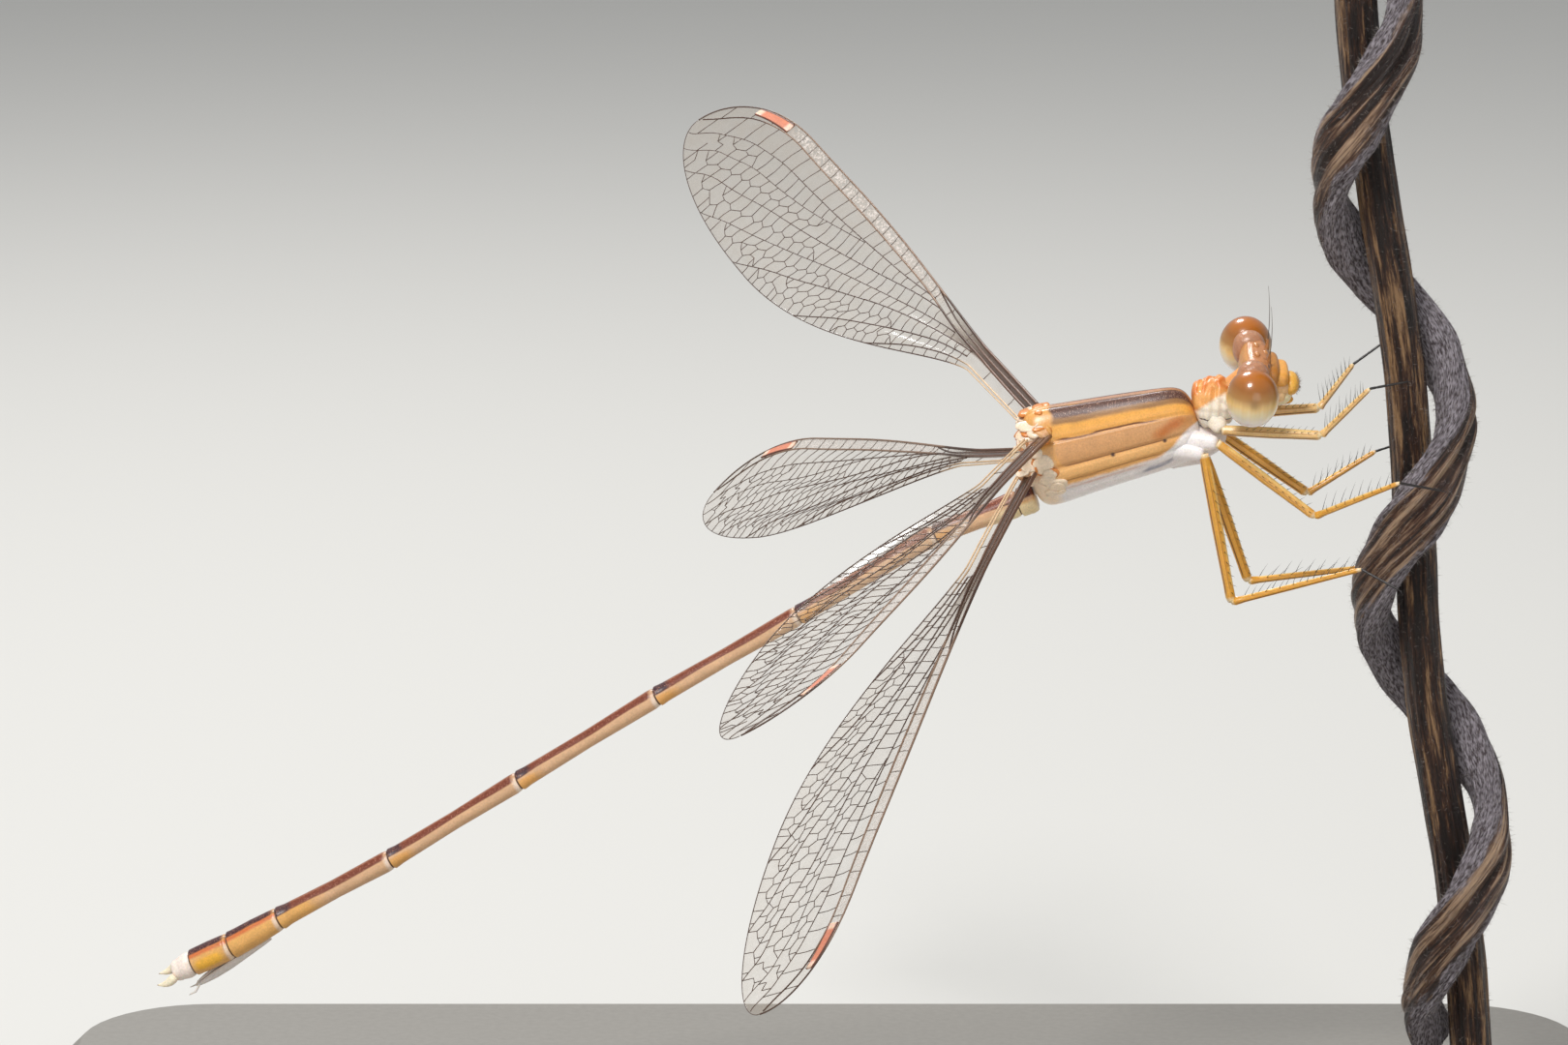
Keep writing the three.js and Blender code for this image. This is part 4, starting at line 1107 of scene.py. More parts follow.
# %% Head capsule and face
head_axes = body_frame([1, 0, -0.05])
# For each part: how far forward, up and right its centre is, then its half length, height and width.
CAPSULE = ((0.16, 0.03, 0), (0.48, 0.72, 1.3))
TEMPLE = ((0.02, 0.28, 0.98), (0.5, 0.56, 0.46))
FACE = {
    "antefrons": ((0.6, 0.12, 0), (0.28, 0.34, 0.76)),
    "postclypeus": ((0.9, 0.0, 0), (0.28, 0.25, 0.62)),
    "anteclypeus": ((0.98, -0.33, 0), (0.28, 0.22, 0.54)),
    "gena": ((0.84, -0.56, 0), (0.36, 0.24, 0.58)),
}
LABRUM = ((1.26, -0.33, 0), (0.29, 0.33, 0.5))
JAW = ((0.93, -0.62, 0.3), (0.38, 0.3, 0.24))
PALP = ((1.03, -0.8, 0.17), (0.36, 0.18, 0.15))
LIP = ((0.68, -0.76, 0), (0.5, 0.2, 0.4))
LABRUM_HAIRS = 160


def head_egg(part, rows, columns, block=1.0, side=1):
    """An egg placed on the head; side −1 puts it on the left."""
    (ahead, up, right), size = part
    centre = placed(HEAD_CENTRE, head_axes, ahead, up, side * right)
    return egg_grid(centre, head_axes, *size, rows, columns, block)


def wrinkled(grid):
    """A grid pushed in and out from its middle by fine crossing waves that fade at both poles."""
    t, a = sphere_angles(*grid.shape[1:3])
    coarse = 0.012 * np.sin(9 * t + 3 * np.sin(5 * a)) * np.sin(11 * a)
    waved = 1 + np.sin(t) * (coarse + 0.004 * np.sin(23 * t + 8 * np.cos(3 * a)))
    middle = grid.mean(axis=(1, 2), keepdims=True)
    return middle + (grid - middle) * waved[..., None]


rows, columns = 72, 96
t, a = sphere_angles(rows, columns)
facing = -np.cos(t)
upper = upwards(rows, columns)
side_share = np.abs(np.sin(t) * np.sin(a))
# A dark spot of painted shade, where a pit lies, sits beside each feeler's root, with a short dark line on
# its inner side.
painted_pit_shade = np.exp(-((side_share - 0.42) ** 2 + (facing - 0.62) ** 2) / 0.006) * (upper > 0)
dark_line = between(side_share, 0.2, 0.28, 0.03) * between(facing, 0.2, 0.6, 0.1) * (upper > 0)
bodies = [
    body(
        wrinkled(head_egg(CAPSULE, rows, columns, 0.72)),
        face=soft_step(facing, 0.55, 0.8) * soft_drop(upper, 0.3, 0.55),
        dark=0.9 * painted_pit_shade + 0.5 * dark_line,
        pale=soft_step(-upper, 0.2, 0.7),
        rear=soft_step(-facing, 0.2, 0.7),
    )
]
for side in (-1, 1):
    bodies.append(body(wrinkled(head_egg(TEMPLE, rows, columns, 0.9, side)), temple=0.8))
for plate, part in FACE.items():
    rust = 0.6 if plate == "antefrons" else soft_step(-upwards(30, 48), 0.5, 0.9) * 0.6
    pale = 0.55 * (plate in ("anteclypeus", "gena"))
    bodies.append(body(head_egg(part, 30, 48, 0.6), face=1.0, rust=rust, pale=pale))
# Pinkish brown on top and ochre in front, with a wet shine that shows the wrinkles.
head_layers = [("rear", "#C88C50"), ("temple", "#B48060"), ("face", "#E5A24A")]
head_layers += [("pale", "#E6CDA8"), ("rust", "#9A5A20"), ("dark", "#3A2018")]
head_cuticle = cuticle(
    "head cuticle, tanned chitin", "#B97C4E", head_layers, rough=0.3, glow=0.18, grain=0.07, bump=0.014
)
make_piece("head_skin", joined(bodies), head_cuticle, ["head"])

# %% [markdown]
# ## Mouth
#
# The labrum hangs in front of the mouth like an upper lip, with a fringe of short hairs. Behind it
# are the jaws, the palps that feel the food, and the lower lip that holds it.

# %% Mouth
# The mouth parts are thinner shell than the head, so more light glows through them.
mouth_layers = [("rim", "#C9802A"), ("pale", "#F0DDB4")]
mouth_cuticle = cuticle("mouth cuticle, thin chitin", "#E8AE48", mouth_layers, glow=0.25)
rows, columns = 40, 56
labrum = head_egg(LABRUM, rows, columns)
lower_edge = soft_step(-upwards(rows, columns), 0.6, 0.9)
make_piece("labrum_skin", body(labrum, rim=lower_edge), mouth_cuticle, ["labrum"])

# A fringe of short hairs on the labrum's front.
draw = np.random.default_rng(61)
row = draw.integers(27, 37, LABRUM_HAIRS)
column = draw.integers(0, columns, LABRUM_HAIRS)
roots = labrum[0, row, column]
outward = unit(roots - placed(HEAD_CENTRE, head_axes, *LABRUM[0]))
lengths = draw.uniform(0.05, 0.11, LABRUM_HAIRS)
place = np.stack([column / columns, row / rows], axis=-1)
fringe = bristles(roots, outward, lengths, 0.006, draw.normal(0, 0.1, (LABRUM_HAIRS, 1, 3)), place)
make_piece("labrum_hairs", fringe, down_hair)

bodies = []
for side in (-1, 1):
    bodies.append(body(head_egg(JAW, 30, 40, side=side), pale=0.8))
    bodies.append(body(head_egg(PALP, 30, 40, side=side), rim=0.4))
bodies.append(body(head_egg(LIP, 30, 40), pale=1.0))
make_piece("jaws_skin", joined(bodies), mouth_cuticle, ["jaws"])

# %% [markdown]
# ## Eyes
#
# A compound eye is thousands of lenses under one clear, wet-looking skin. The lenses are about
# 0.03 mm across, too fine to show from here, so they are only a faint bump. Pigment makes the eye
# amber above and cream to bluish below, with faint streaks that run down it, and a clear coat gives
# the sharp highlights.

# %% Eyes and ocelli
EYE = ((-0.02, 0, 1.72), (0.8, 0.9, 0.82))
OCELLUS_SIZE = (0.1, 0.1, 0.1)
OCELLI = [(0.42, 0.64, 0.0), (0.15, 0.74, 0.3), (0.15, 0.74, -0.3)]
# The pigment from the eye's foot to its top, by how far up a point faces: a brown rim, lilac white,
# cream, then amber.
PIGMENT = [
    (0.05, "#7A4A28"),
    (0.11, "#E2D6DA"),
    (0.22, "#F2E9DF"),
    (0.38, "#EFDDB4"),
    (0.52, "#E3BE7C"),
    (0.65, "#AC7E46"),
    (0.8, "#99602A"),
    (0.97, "#B0661E"),
]

# A clear coat over a soft, slightly glowing body gives the depth of a wet bead.
clear_coat = {"Coat Weight": 0.7, "Coat Roughness": 0.03}
inner_glow = {"Subsurface Weight": 0.25, "Subsurface Radius": (1.0, 0.6, 0.3), "Subsurface Scale": 0.25 * MM}
eye_lens, tree, shader = new_finish(
    "compound eye, clear chitin lens", {"Roughness": 0.28, "IOR": 1.4, **clear_coat, **inner_glow}
)
height = add(tree, "Attribute", {"attribute_name": "height"})
streak = add(tree, "Attribute", {"attribute_name": "streak"})
uneven = add(tree, "Math", {"operation": "MULTIPLY_ADD", 1: 0.018}, {0: streak, 2: height})
pigment = add(tree, "ValToRGB", {}, {"Fac": uneven})
stops = pigment.color_ramp.elements
stops[0].position, stops[1].position = PIGMENT[0][0], PIGMENT[-1][0]
for position, _ in PIGMENT[1:-1]:
    stops.new(position)
for stop, (_, tint) in zip(stops, PIGMENT):
    stop.color = linear(tint)
# Painted shade: a dark pseudopupil, the spot that a real eye shows only where its lenses look straight at
# the viewer.
dark = add(tree, "Attribute", {"attribute_name": "pupil"})
pigment_and_pseudopupil = add(tree, "Mix", {"data_type": "RGBA", MIX_B: "#5E3A14"}, {"Factor": dark, MIX_A: pigment})
place = add(tree, "TexCoord")
lenses = add(tree, "TexVoronoi", {"Scale": scale_for(0.035)}, {"Vector": place})
facets = add(tree, "Bump", {"Strength": 0.12, "Distance": 0.003 * MM}, {"Height": lenses})
feed(tree, shader, {}, {"Base Color": pigment_and_pseudopupil, "Normal": facets})

rows, columns = 90, 120
t, a = sphere_angles(rows, columns)
upper = upwards(rows, columns)
for name, side in (("eye_right", 1), ("eye_left", -1)):
    outward = np.sin(t) * np.sin(a) * side
    streaks = waves(np.arctan2(-np.cos(t), outward + 1.2), 0, (31, 47, 83), 0, 9)
    streaks = streaks * soft_drop(upper, -0.1, 0.4)
    # The painted pseudopupil lies a little above the middle of each eye's outer side.
    pupil = 0.5 * hill(upper, 0.2, 0.2) * hill(np.cos(t), 0, 0.2) * (outward > 0)
    shape = head_egg(EYE, rows, columns, side=side)
    eye = body(shape, height=0.5 + 0.5 * upper, streak=streaks, pupil=pupil)
    make_piece(f"{name}_lens", eye, eye_lens, [name])

# The simple eyes are single clear beads with a harder shine.
bead = {"Roughness": 0.12, "IOR": 1.55, "Coat Weight": 1.0, "Coat Roughness": 0.03}
ocellus_lens = drifting("ocellus, clear chitin bead", bead, 0.12, ("#E0A468", "#A85E24"))[0]
beads = [body(head_egg((seat, OCELLUS_SIZE), 24, 32)) for seat in OCELLI]
make_piece("ocelli", joined(beads), ocellus_lens)

# %% [markdown]
# ## Feelers
#
# A damselfly's feelers are short bristles: a stout first joint, a second one, and a hair of a few
# joints that narrows to nothing. One tube follows the whole feeler, with its radius stepping down.

# %% Feelers
ANTENNA = {"apart": 0.44, "forward": 0.5, "up": 0.52, "reach": 2.08, "splay": 0.24}
# Shares of the length and the radius there: two stout joints, then the hair.
ANTENNA_SHARES = [0, 0.06, 0.09, 0.11, 0.17, 0.19, 0.22, 0.6, 1]
ANTENNA_RADII = [0.07, 0.075, 0.05, 0.045, 0.04, 0.016, 0.012, 0.009, 0.004]
# A tan base that darkens to the hair.
feeler_tip = [("tip", "#4A3A30")]
antenna_cuticle = cuticle("feeler cuticle, brown chitin", "#A8703E", feeler_tip, rough=0.4, glow=0.0)
t = np.linspace(0, 1, 60)
radius = np.interp(t, ANTENNA_SHARES, ANTENNA_RADII)
ahead = ANTENNA["forward"] + 0.25 * t * (1 - t) - 0.1 * t
up = ANTENNA["up"] + ANTENNA["reach"] * t
hair = soft_step(t, 0.15, 0.22)[:, None]
for name, side in (("antenna_right", 1), ("antenna_left", -1)):
    line = placed(HEAD_CENTRE, head_axes, ahead, up, side * (ANTENNA["apart"] + ANTENNA["splay"] * t))
    feeler = body(tube(line, radius, radius, 16, RIGHT), tip=hair)
    make_piece(f"{name}_hair", feeler, antenna_cuticle, [name])

# %% [markdown]
# ## Legs
#
# The legs are thin stilts with combs of black spines that hold prey. Thigh and shin are tubes with
# a faint keel, ochre with a brown stripe along the outer side and pale knees, a painted highlight.
# The foot is three short joints with two claws, and it bends round the stem: its straight line is
# pushed outwards until it lies on the bark.

# %% Leg shapes
# Where a limb's radius changes, as shares of its length and of its radius, and its two rows of
# spines: how many, how long, how far round and how far over they lean, and where they run.
FEMUR = {
    "radius": 0.15,
    "shares": [0, 0.12, 0.5, 0.85, 0.97, 1],
    "sizes": [0.9, 1.05, 1.1, 0.95, 0.95, 0.6],
    "spines": {"count": 11, "length": 0.27, "splay": 0.85, "lean": 0.5, "first": 0.2, "last": 0.96},
}
TIBIA = {
    "radius": 0.095,
    "shares": [0, 0.025, 0.1, 0.5, 0.95, 1],
    "sizes": [0.8, 1.3, 1.05, 0.95, 0.75, 0.5],
    "spines": {"count": 8, "length": 0.56, "splay": 0.75, "lean": 0.55, "first": 0.1, "last": 0.95},
}
TARSUS = {
    "radius": 0.036,
    "shares": [0, 0.03, 0.16, 0.18, 0.2, 0.42, 0.45, 0.48, 0.9, 1],
    "sizes": [0.9, 1.15, 1.1, 0.8, 1.1, 1.05, 0.75, 1.05, 0.95, 0.5],
}
# Half thickness of a spine and length of a claw, in millimetres.
SPINE_RADIUS = 0.011
CLAW = 0.2


def limb_axes(start, end, towards):
    """Along a limb, and the direction square to it on the side that it folds to."""
    along = unit(end - start)
    return along, unit(towards - along * (towards @ along))


def limb_body(start, end, towards, limb, light, rows=60, columns=32):
    """A limb whose ring angle is 0 on the inner side: radius·(1 + 0.07 cos 4a), striped on the outer."""
    inner = limb_axes(start, end, towards)[1]
    t = np.linspace(0, 1, rows)
    radius = np.interp(t, limb["shares"], limb["radius"] * np.array(limb["sizes"]))
    grid = tube(along_line(start, end, t), radius, radius, columns, inner)
    a = round_angles(columns)
    axis = grid.mean(axis=2, keepdims=True)
    grid = axis + (grid - axis) * (1 + 0.07 * np.cos(4 * a))[:, None]
    off = off_middle(a)
    t = t[:, None]
    shaft = between(t, 0.08, 0.92, 0.04)
    return body(
        grid,
        light=light,
        # The pale ends of each limb are a painted highlight for the glints at the joints.
        knee=0.8 * (1 - between(t, 0.025, 0.965, 0.015)),
        stripe=between(off, 126, 146, 6) * between(t, 0.04, 0.95, 0.03),
        line=between(off, 62, 74, 5) * shaft * 0.75,
        inside=soft_drop(off, 20, 50) * shaft * 0.6,
    )


def spine_rows(start, end, towards, radius, seed, count, length, splay, lean, first, last):
    """Two rows of spines on the inner side, at ±splay round the limb, leaning to its far end."""
    along, inner = limb_axes(start, end, towards)
    across = np.cross(along, inner)
    draw = np.random.default_rng(seed)
    row = np.repeat([-1, 1], count)
    share = first + (last - first) * (np.tile(np.arange(count), 2) + 0.3 * (row + 1)) / count
    outward = inner * np.cos(splay) + across * np.sin(splay) * row[:, None]
    directions = outward * np.cos(lean) + along * np.sin(lean) + draw.normal(0, 0.06, (2 * count, 3))
    roots = along_line(start, end, share) + outward * radius * 0.85
    lengths = length * (1 - 0.3 * share) * draw.uniform(0.88, 1.12, 2 * count)
    return bristles(roots, unit(directions), lengths, SPINE_RADIUS, along * 0.12, rings=6, sides=6)


def push_off_stem(path, clear):
    """Moves points out from the stem's middle line until they are this far from it."""
    axis = stem_point(path[:, 2])
    away = (path - axis) * [1, 1, 0]
    distance = np.linalg.norm(away, axis=1, keepdims=True)
    return path + away / distance * np.maximum(clear - distance, 0)


def tarsus_bodies(ankle, tip):
    """The foot's tube, laid on the stem, and two hooked claws. Claw path = foot's end + forward·(u −
    0.35u²) + sideways·0.35u − up·0.45u², times the claw's length."""
    t = np.linspace(0, 1, 48)
    path = push_off_stem(along_line(ankle, tip, t), STEM["radius"] + TARSUS["radius"])
    thick = np.interp(t, TARSUS["shares"], TARSUS["radius"] * np.array(TARSUS["sizes"]))
    foot = [body(tube(path, thick, thick, 14, [0, 1, 0]))]
    forward = unit(path[-1] - path[-4])
    sideways = unit(np.cross(forward, [0, 0, 1]))
    u = np.linspace(0, 1, 12)[:, None]
    taper = TARSUS["radius"] * 0.42 * (1 - 0.85 * u[:, 0])
    for side in (-1, 1):
        reach = forward * u * (1 - 0.35 * u) + sideways * side * 0.35 * u - np.array([0, 0, 0.45]) * u**2
        foot.append(body(tube(path[-1] + CLAW * reach, taper, taper, 8, [0, 1, 0.2])))
    return foot


# Ochre with a satin shine; the fore legs are paler.
leg_layers = [("light", "#E2C08A"), ("inside", "#EBC87E"), ("line", "#A8702C")]
# The knee colour is a painted highlight.
leg_layers += [("stripe", "#6E4020"), ("knee", "#EBD0A4")]
leg_cuticle = cuticle("leg cuticle, tanned chitin", "#D99C38", leg_layers, rough=0.28, glow=0.2, fray=0.35)
# Black and shiny, so the spines read as fine dark combs.
spine_cuticle = cuticle("spine cuticle, black chitin", "#1A1310", rough=0.35, glow=0.0)
print("legs:", ", ".join(LEGS))

# %% [markdown]
# ## From hip to claw
#
# Each leg is four pieces: thigh, shin, the spines of both, and the foot. Thigh and shin fold towards
# each other at the knee, so the inner side of each faces the other one.

# %% Leg pieces
# How much paler than the hind legs each pair is.
PALER = {"fore": 0.6, "mid": 0.3, "hind": 0.0}
for number, (name, (hip, knee, ankle, tip)) in enumerate(LEGS.items()):
    limbs = {
        "femur": (FEMUR, hip, knee, ankle - knee, 2 * number + 31),
        "tibia": (TIBIA, knee, ankle, hip - knee, 2 * number + 32),
    }
    spines = []
    for kind, (limb, start, end, towards, seed) in limbs.items():
        shape = limb_body(start, end, towards, limb, PALER[name.split("_")[0]])
        make_piece(f"{kind}_{name}_skin", shape, leg_cuticle, [f"{kind}_{name}"])
        spines.append(spine_rows(start, end, towards, limb["radius"], seed, **limb["spines"]))
    make_piece(f"spines_{name}", joined(spines), spine_cuticle)
    foot = joined(tarsus_bodies(ankle, tip))
    make_piece(f"tarsus_{name}_skin", foot, spine_cuticle, [f"tarsus_{name}"])

# %% [markdown]
# ## Wings
#
# A wing is a clear membrane a few thousandths of a millimetre thick, stretched over a net of hollow
# veins. The membrane is one thin closed sheet, and it is pleated: the main veins lie alternately on
# ridges and in troughs. The net is worked out on the sheet's own coordinates, the share of the
# length and the share of the chord: a few long veins listed, then cells between each pair of them.
# Where the gap is narrow the cells are squares; where it widens they become rows of hexagons.

# %% Wing shapes
# The front edge's direction at the root, the blade's turn from root to tip in degrees, how far the
# tip bends out of the plane, and the widest chord.
WINGS = {
    "wing_fore_left": {"lead": (0.63, 0.04, 0.78), "twist": 20, "bend": -2.5, "chord": 4.5},
    "wing_hind_left": {"lead": (0.8, 0.46, 0.4), "twist": -18, "bend": -1.1, "chord": 4.7},
    "wing_fore_right": {"lead": (0.9, -0.42, 0.15), "twist": 20, "bend": -0.8, "chord": 4.5},
    "wing_hind_right": {"lead": (0.7, -0.65, 0.28), "twist": 8, "bend": -2.1, "chord": 4.7},
}
# The stalk's width in millimetres; where it ends, where the blade is broadest, where the front edge
# starts to round off and where the blade ends, as shares of the length; and where the dark spot
# near the tip lies.
STALK = 0.8
STALK_END = 0.19
BROADEST = 0.68
FRONT_ROUNDS = 0.8
WING_END = 0.988
STIGMA = (0.86, 0.93)
# A real membrane is a quarter as thick; this one is just thick enough to be a sound closed sheet.
MEMBRANE = 0.012
PLEAT = 0.05
# Sheets stop just short of the blade's end, where it has no width left.
NEARLY = 0.99999


def tip_left(share, start):
    """How much of its distance from the tip's line an edge still has: (1 − past^2.4)^0.5, from 1 at
    the start of the rounding down to 0 at the wing's end."""
    past = np.clip((share - start) / (WING_END - start), 0, 1)
    return np.sqrt(1 - past**2.4)


def wing_edges(share, chord):
    """Front and rear edge, in millimetres from the wing's line: the chord grows from the stalk as a
    sine, a seventh of it in front of the line, and both edges run to the tip's line in a round end."""
    grown = np.clip((share - STALK_END) / (BROADEST - STALK_END), 0, 1)
    spread = (chord - STALK) * np.sin(grown * np.pi / 2) ** 1.3
    tip_line = -0.35 * chord
    front = STALK / 2 + 0.15 * np.sin(np.minimum(share / 0.95, 1) * np.pi) + 0.14 * spread
    rear = -(STALK / 2 + 0.86 * spread)
    rounded = tip_line + (rear - tip_line) * tip_left(share, BROADEST)
    rear = np.where(share > BROADEST, rounded, rear)
    return tip_line + (front - tip_line) * tip_left(share, FRONT_ROUNDS), rear


def wing_length(name):
    """The length of the wing's line."""
    return np.linalg.norm(WING_LINES[name])


def wing_place(name, share, across):
    """The point at a share of the length and of the chord, and the direction square to the blade.
    Point = root + out·length·share + normal·(bend·share² + pleat) + turned·(front edge − across·chord),
    where turned is the lead direction, turned round the wing's line by twist·share."""
    wing = WINGS[name]
    out = unit(WING_LINES[name])
    front = unit(np.array(wing["lead"]) - out * (np.array(wing["lead"]) @ out))
    angle = (np.radians(wing["twist"]) * share)[..., None]
    turned = front * np.cos(angle) + np.cross(out, front) * np.sin(angle)
    normal = np.cross(out, turned)
    lead, rear = wing_edges(share, wing["chord"])
    chord = lead - rear
    fold = PLEAT * np.minimum(chord / 2.5, 1) * np.sin(TURN * 3.2 * across) * soft_drop(share, 0.7, 1.0)
    height = (wing["bend"] * share**2 + fold)[..., None]
    along = out * (wing_length(name) * share)[..., None]
    return WING_ROOTS[name] + along + normal * height + turned * (lead - across * chord)[..., None], normal


for name in WINGS:
    print(name, round(float(wing_length(name)), 1), "mm")

# %% [markdown]
# ## Veins
#
# Veins are hollow struts that carry the load and the blood of the wing. The long ones are tubes that
# thin out towards the tip. The short ones between them make the net that stops a tear from running
# on. Each gap between two long veins is filled by the same rule, so one function draws all the nets.

# %% Main veins
# Each long vein as places (share of length, share of chord), and its half thickness in millimetres.
# Those along the two edges stop just short of the blade's end.
VEINS = {
    "costa": ([(0, 0), (0.3, 0), (0.6, 0), (0.98799, 0)], 0.036),
    "subcosta": ([(0, 0.22), (0.15, 0.22), (0.28, 0.12), (0.365, 0.01)], 0.026),
    "radius": (
        [(0, 0.46), (0.12, 0.45), (0.21, 0.36), (0.3, 0.19), (0.37, 0.115)]
        + [(0.6, 0.095), (0.86, 0.1), (0.94, 0.16), (0.984, 0.45)],
        0.034,
    ),
    "sector_1": (
        [(0.36, 0.125), (0.42, 0.185), (0.6, 0.23), (0.8, 0.27), (0.9, 0.36), (0.955, 0.56), (0.978, 0.95)],
        0.02,
    ),
    "sector_2": ([(0.56, 0.23), (0.7, 0.36), (0.84, 0.47), (0.92, 0.64), (0.958, 1.0)], 0.017),
    "sector_3": ([(0.33, 0.17), (0.45, 0.3), (0.6, 0.42), (0.76, 0.58), (0.88, 0.78), (0.92, 1.0)], 0.02),
    "sector_4": ([(0.27, 0.3), (0.4, 0.4), (0.55, 0.52), (0.68, 0.68), (0.79, 0.88), (0.835, 1.0)], 0.018),
    "median": ([(0.212, 0.42), (0.3, 0.46), (0.42, 0.54), (0.55, 0.68), (0.65, 0.85), (0.715, 1.0)], 0.02),
    "cubital": ([(0.212, 0.62), (0.28, 0.62), (0.38, 0.72), (0.48, 0.87), (0.55, 1.0)], 0.02),
    "anal": ([(0.0, 0.9), (0.19, 0.86), (0.25, 0.82), (0.32, 0.88), (0.4, 1.0)], 0.02),
    "rear_edge": ([(0, 1), (0.3, 1), (0.7, 1), (0.98799, 1)], 0.018),
}
# The gaps that hold cells: the vein in front, the vein behind, where the cells start and end, the
# spacing of the corners and the height of a row in millimetres.
GAPS = [
    ("costa", "subcosta", 0.1, 0.33, 0.75, 1.0),
    ("subcosta", "radius", 0.08, 0.35, 0.8, 1.0),
    ("radius", "anal", 0.06, 0.2, 0.9, 2.0),
    ("costa", "radius", 0.38, 0.978, 0.36, 1.0),
    ("radius", "sector_1", 0.385, 0.975, 0.32, 0.95),
    ("sector_1", "sector_3", 0.36, 0.56, 0.26, 0.55),
    ("sector_1", "sector_2", 0.57, 0.95, 0.25, 0.5),
    ("sector_2", "sector_3", 0.57, 0.945, 0.24, 0.48),
    ("sector_3", "sector_4", 0.33, 0.91, 0.24, 0.48),
    ("sector_4", "median", 0.27, 0.825, 0.22, 0.44),
    ("median", "cubital", 0.225, 0.705, 0.21, 0.4),
    ("cubital", "anal", 0.225, 0.4, 0.2, 0.4),
    ("cubital", "rear_edge", 0.4, 0.54, 0.19, 0.36),
    ("anal", "rear_edge", 0.22, 0.39, 0.24, 0.4),
]
# Short veins that the rule doesn't give, as pairs of places, and their half thickness.
LONE_VEINS = [[0.212, 0.36, 0.212, 0.62], [0.25, 0.45, 0.245, 0.62], [0.36, 0.0, 0.362, 0.13]]
CROSSVEIN = 0.0135
print(len(VEINS), "long veins with", len(GAPS), "gaps between them")

# %% The net of cells


def vein_line(name, count=140):
    """A long vein as share of length and of chord: straight between its places, then smoothed by a
    running mean so that it bends gently."""
    places = np.array(VEINS[name][0])
    share = places[0, 0] + (places[-1, 0] - places[0, 0]) * np.sin(np.linspace(0, 1, count) * np.pi / 2)
    across = np.interp(share, places[:, 0], places[:, 1])
    width = 15
    padded = np.pad(across, width // 2, mode="reflect", reflect_type="odd")
    return share, np.clip(np.convolve(padded, np.ones(width) / width, mode="valid"), 0, 1)


def cells_between(name, front, behind, start, end, pitch, row_height, seed):
    """The short veins of one gap, as pairs of places. Each column has corners from one long vein to
    the other, as many as the gap's width holds rows. Corners are pushed up and down in turn, linked
    to the next corner of their column in turn, and linked to the nearest corner of the next column,
    which makes hexagons, or plain squares where there is a single row."""
    draw = np.random.default_rng(seed)
    step = pitch / wing_length(name)
    share = np.arange(start, end, step)
    share = share + draw.uniform(-0.16, 0.16, len(share)) * step
    ahead, rear = (np.interp(share, *vein_line(v)) for v in (front, behind))
    lead, trail = wing_edges(share, WINGS[name]["chord"])
    rows = np.maximum(1, np.rint((rear - ahead) * (lead - trail) / row_height)).astype(int)
    levels = []
    for column, count in enumerate(rows):
        push = (0.15 + draw.uniform(-0.06, 0.06, count + 1)) * (-1.0) ** (column + np.arange(count + 1))
        push[[0, -1]] = 0
        levels.append(ahead[column] + (rear[column] - ahead[column]) * (np.arange(count + 1) + push) / count)
    links = []
    for column, level in enumerate(levels):
        pairs = np.stack([level[:-1], level[1:]], axis=-1)[column % 2 :: 2]
        links += [(share[column], a, share[column], b) for a, b in pairs]
        if column + 1 == len(levels):
            break
        # The column with more corners links each of its inner corners to the nearest in the other.
        fuller, other = column, column + 1
        if len(level) < len(levels[other]):
            fuller, other = other, fuller
        for a in levels[fuller][1:-1]:
            b = levels[other][np.abs(levels[other] - a).argmin()]
            links.append((share[fuller], a, share[other], b))
    return np.array(links)


def vein_bodies(name):
    """All the veins of one wing as closed tubes that stand a little proud of the membrane."""
    bodies = []
    for vein, (_, radius) in VEINS.items():
        share, across = vein_line(vein)
        path, normal = wing_place(name, share, across)
        taper = radius * np.interp(share, [0, 0.2, 0.4, 1], [1.5, 1.25, 1.0, 0.6])
        # Costa and radius are paler over the costal strip: a painted silvery sheen.
        pale = between(share, 0.34, 0.9, 0.04) * (vein in ("costa", "radius"))
        stalk = soft_drop(share, 0.12, 0.3)
        cream = stalk * (vein in ("anal", "rear_edge"))
        grid = tube(path, taper * 1.15, taper, 8, normal[None])
        bodies.append(body(grid, pale=pale[:, None], stalk=stalk[:, None], cream=cream[:, None]))
    nets = [cells_between(name, *gap, seed=50 + number) for number, gap in enumerate(GAPS)]
    ends = np.concatenate([*nets, LONE_VEINS])
    t = np.linspace(0, 1, 3)
    share = ends[:, 0:1] + (ends[:, 2:3] - ends[:, 0:1]) * t
    across = ends[:, 1:2] + (ends[:, 3:4] - ends[:, 1:2]) * t
    path, normal = wing_place(name, share, across)
    thin = np.full(path.shape[:2], CROSSVEIN)
    bodies.append(body(rings_round(path, thin, thin, 5, normal)))
    print(name, "has", len(ends), "short veins")
    return joined(bodies)


def sheet_grid(name, share, across, half):
    """A thin closed sheet over part of a wing: each ring runs over the top and back underneath."""
    s, c = np.broadcast_arrays(share[:, None], across)
    middle, normal = wing_place(name, s, c)
    lower = middle - normal * half
    return np.concatenate([middle + normal * half, lower[:, ::-1]], axis=1)[None]
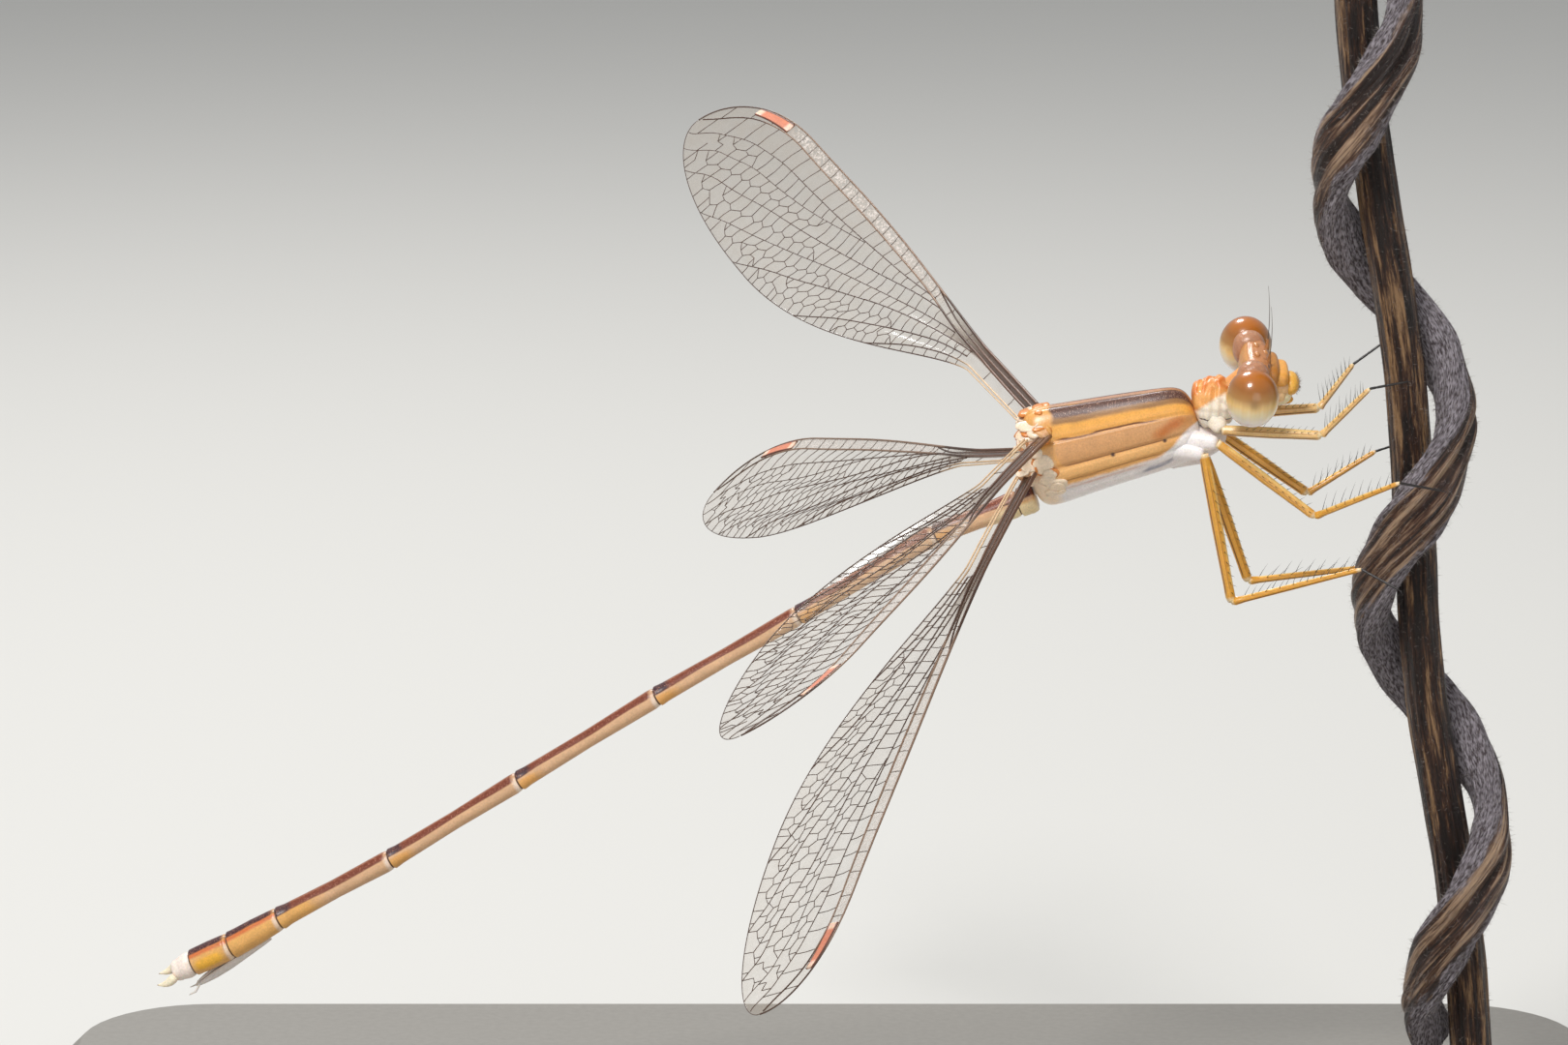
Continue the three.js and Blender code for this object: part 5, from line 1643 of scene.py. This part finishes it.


# %% [markdown]
# ## Wing finishes
#
# The film is clear, so its finish is nearly transparent: a little haze that varies over half a
# millimetre, a brown tint towards the stalk, and a strip of painted silvery glints behind the front
# edge. The veins and the spot near the tip are shell, like the body.

# %% Wing finishes
# A thin hard coat gives the film its glints; the rest of the light passes through.
film = {"Roughness": 0.16, "IOR": 1.56, "Coat Weight": 0.6, "Coat Roughness": 0.08}
membrane_film, tree, shader = new_finish("wing membrane, clear chitin film", film)
place = add(tree, "TexCoord")
ripple = add(tree, "TexNoise", {"Scale": scale_for(0.5), "Detail": 3.0}, {"Vector": place})
haze = add(tree, "MapRange", {"To Min": 0.07, "To Max": 0.2}, {"Value": ripple})
stalk = add(tree, "Attribute", {"attribute_name": "stalk"})
cover = add(tree, "Math", {"operation": "MULTIPLY_ADD", 1: 0.75}, {0: stalk, 2: haze})
tint = add(tree, "Mix", {"data_type": "RGBA", MIX_A: "#A8937A", MIX_B: "#5E4A3E"}, {"Factor": stalk})
# Painted reflection: silvery specks behind the front edge, more opaque, stand in for glints of light on the
# film.
costal = add(tree, "Attribute", {"attribute_name": "costal"})
specks = add(tree, "TexNoise", {"Scale": scale_for(0.09), "Detail": 2.0}, {"Vector": place})
bright = add(tree, "MapRange", {"From Min": 0.4, "From Max": 0.62}, {"Value": specks})
painted_silver_glints = add(tree, "Math", {"operation": "MULTIPLY"}, {0: bright, 1: costal})
sheen = add(tree, "Mix", {"data_type": "RGBA", MIX_B: "#E6DCD4"}, {"Factor": painted_silver_glints, MIX_A: tint})
opacity = add(tree, "Math", {"operation": "MULTIPLY_ADD", 1: 0.5}, {0: painted_silver_glints, 2: cover})
ripples = add(tree, "Bump", {"Strength": 0.5, "Distance": 0.02 * MM}, {"Height": ripple})
feed(tree, shader, {}, {"Base Color": sheen, "Alpha": opacity, "Normal": ripples})

# Dark brown tubes; the front ones are paler over the costal strip, a painted silvery sheen.
vein_layers = [("pale", "#8A6E5A"), ("stalk", "#6A4A38"), ("cream", "#D9B890")]
vein_cuticle = cuticle(
    "vein cuticle, dark chitin tube", "#4A3022", vein_layers, rough=0.35, glow=0.0, grain=0.12
)
# A salmon patch with a dark rim and pale ends, slightly see-through.
spot_layers = [("end", "#F0CDB6"), ("rim", "#6A3A2A")]
stigma_cuticle = cuticle(
    "wing spot cuticle, pigmented chitin", "#D98A6C", spot_layers, rough=0.4, glow=0.25, fray=0.2
)
print("film haze is 7 to 20 percent")

# %% [markdown]
# ## Film, veins and spot
#
# Each wing is three pieces: the film, its net of veins, and the spot near the tip, which is a thicker
# cell that steadies the wing in flight. All three read the same wing coordinates, so they fit.

# %% Wing pieces
# Rows of the sheet lie closer together towards the tip.
t = np.linspace(0, 1, 170)
sheet_shares = WING_END * NEARLY * (0.75 * np.sin(t * np.pi / 2) + 0.25 * t)
sheet_across = np.linspace(0, 1, 40)
spot_shares = np.linspace(*STIGMA, 30)
spot_across = np.linspace(0.01, 0.1, 12)


def there_and_back(across):
    """The share of the chord round one ring of a sheet: over the top and back underneath."""
    return np.concatenate([across, across[::-1]])


ring = there_and_back(sheet_across)
sheet_masks = {
    "stalk": soft_drop(sheet_shares, 0.16, 0.34)[:, None] * soft_drop(ring, 0.4, 0.5),
    # The costal mask places the painted silvery glints.
    "costal": between(sheet_shares, 0.34, 0.85, 0.02)[:, None] * soft_drop(ring, 0.08, 0.12),
}
spot_masks = {
    "end": 1 - between(spot_shares, STIGMA[0] + 0.01, STIGMA[1] - 0.01, 0.006)[:, None],
    "rim": 0.9 * (1 - between(there_and_back(spot_across), 0.022, 0.088, 0.008)),
}
for name in WINGS:
    sheet = body(sheet_grid(name, sheet_shares, sheet_across, MEMBRANE / 2), **sheet_masks)
    make_piece(f"{name}_membrane", sheet, membrane_film, [name])
    make_piece(f"{name}_veins", vein_bodies(name), vein_cuticle)
    spot = body(sheet_grid(name, spot_shares, spot_across, 0.03), **spot_masks)
    make_piece(f"{name}_spot", spot, stigma_cuticle)

# %% [markdown]
# ## Last look
#
# The last cell counts the triangles of every mesh and names the largest.

# %% Triangle counts
bpy.context.view_layer.update()
counts = {o.name: len(o.data.loops) - 2 * len(o.data.polygons) for o in bpy.data.objects if o.type == "MESH"}
print("triangles:", sum(counts.values()), "largest:", max(counts, key=counts.get), max(counts.values()))
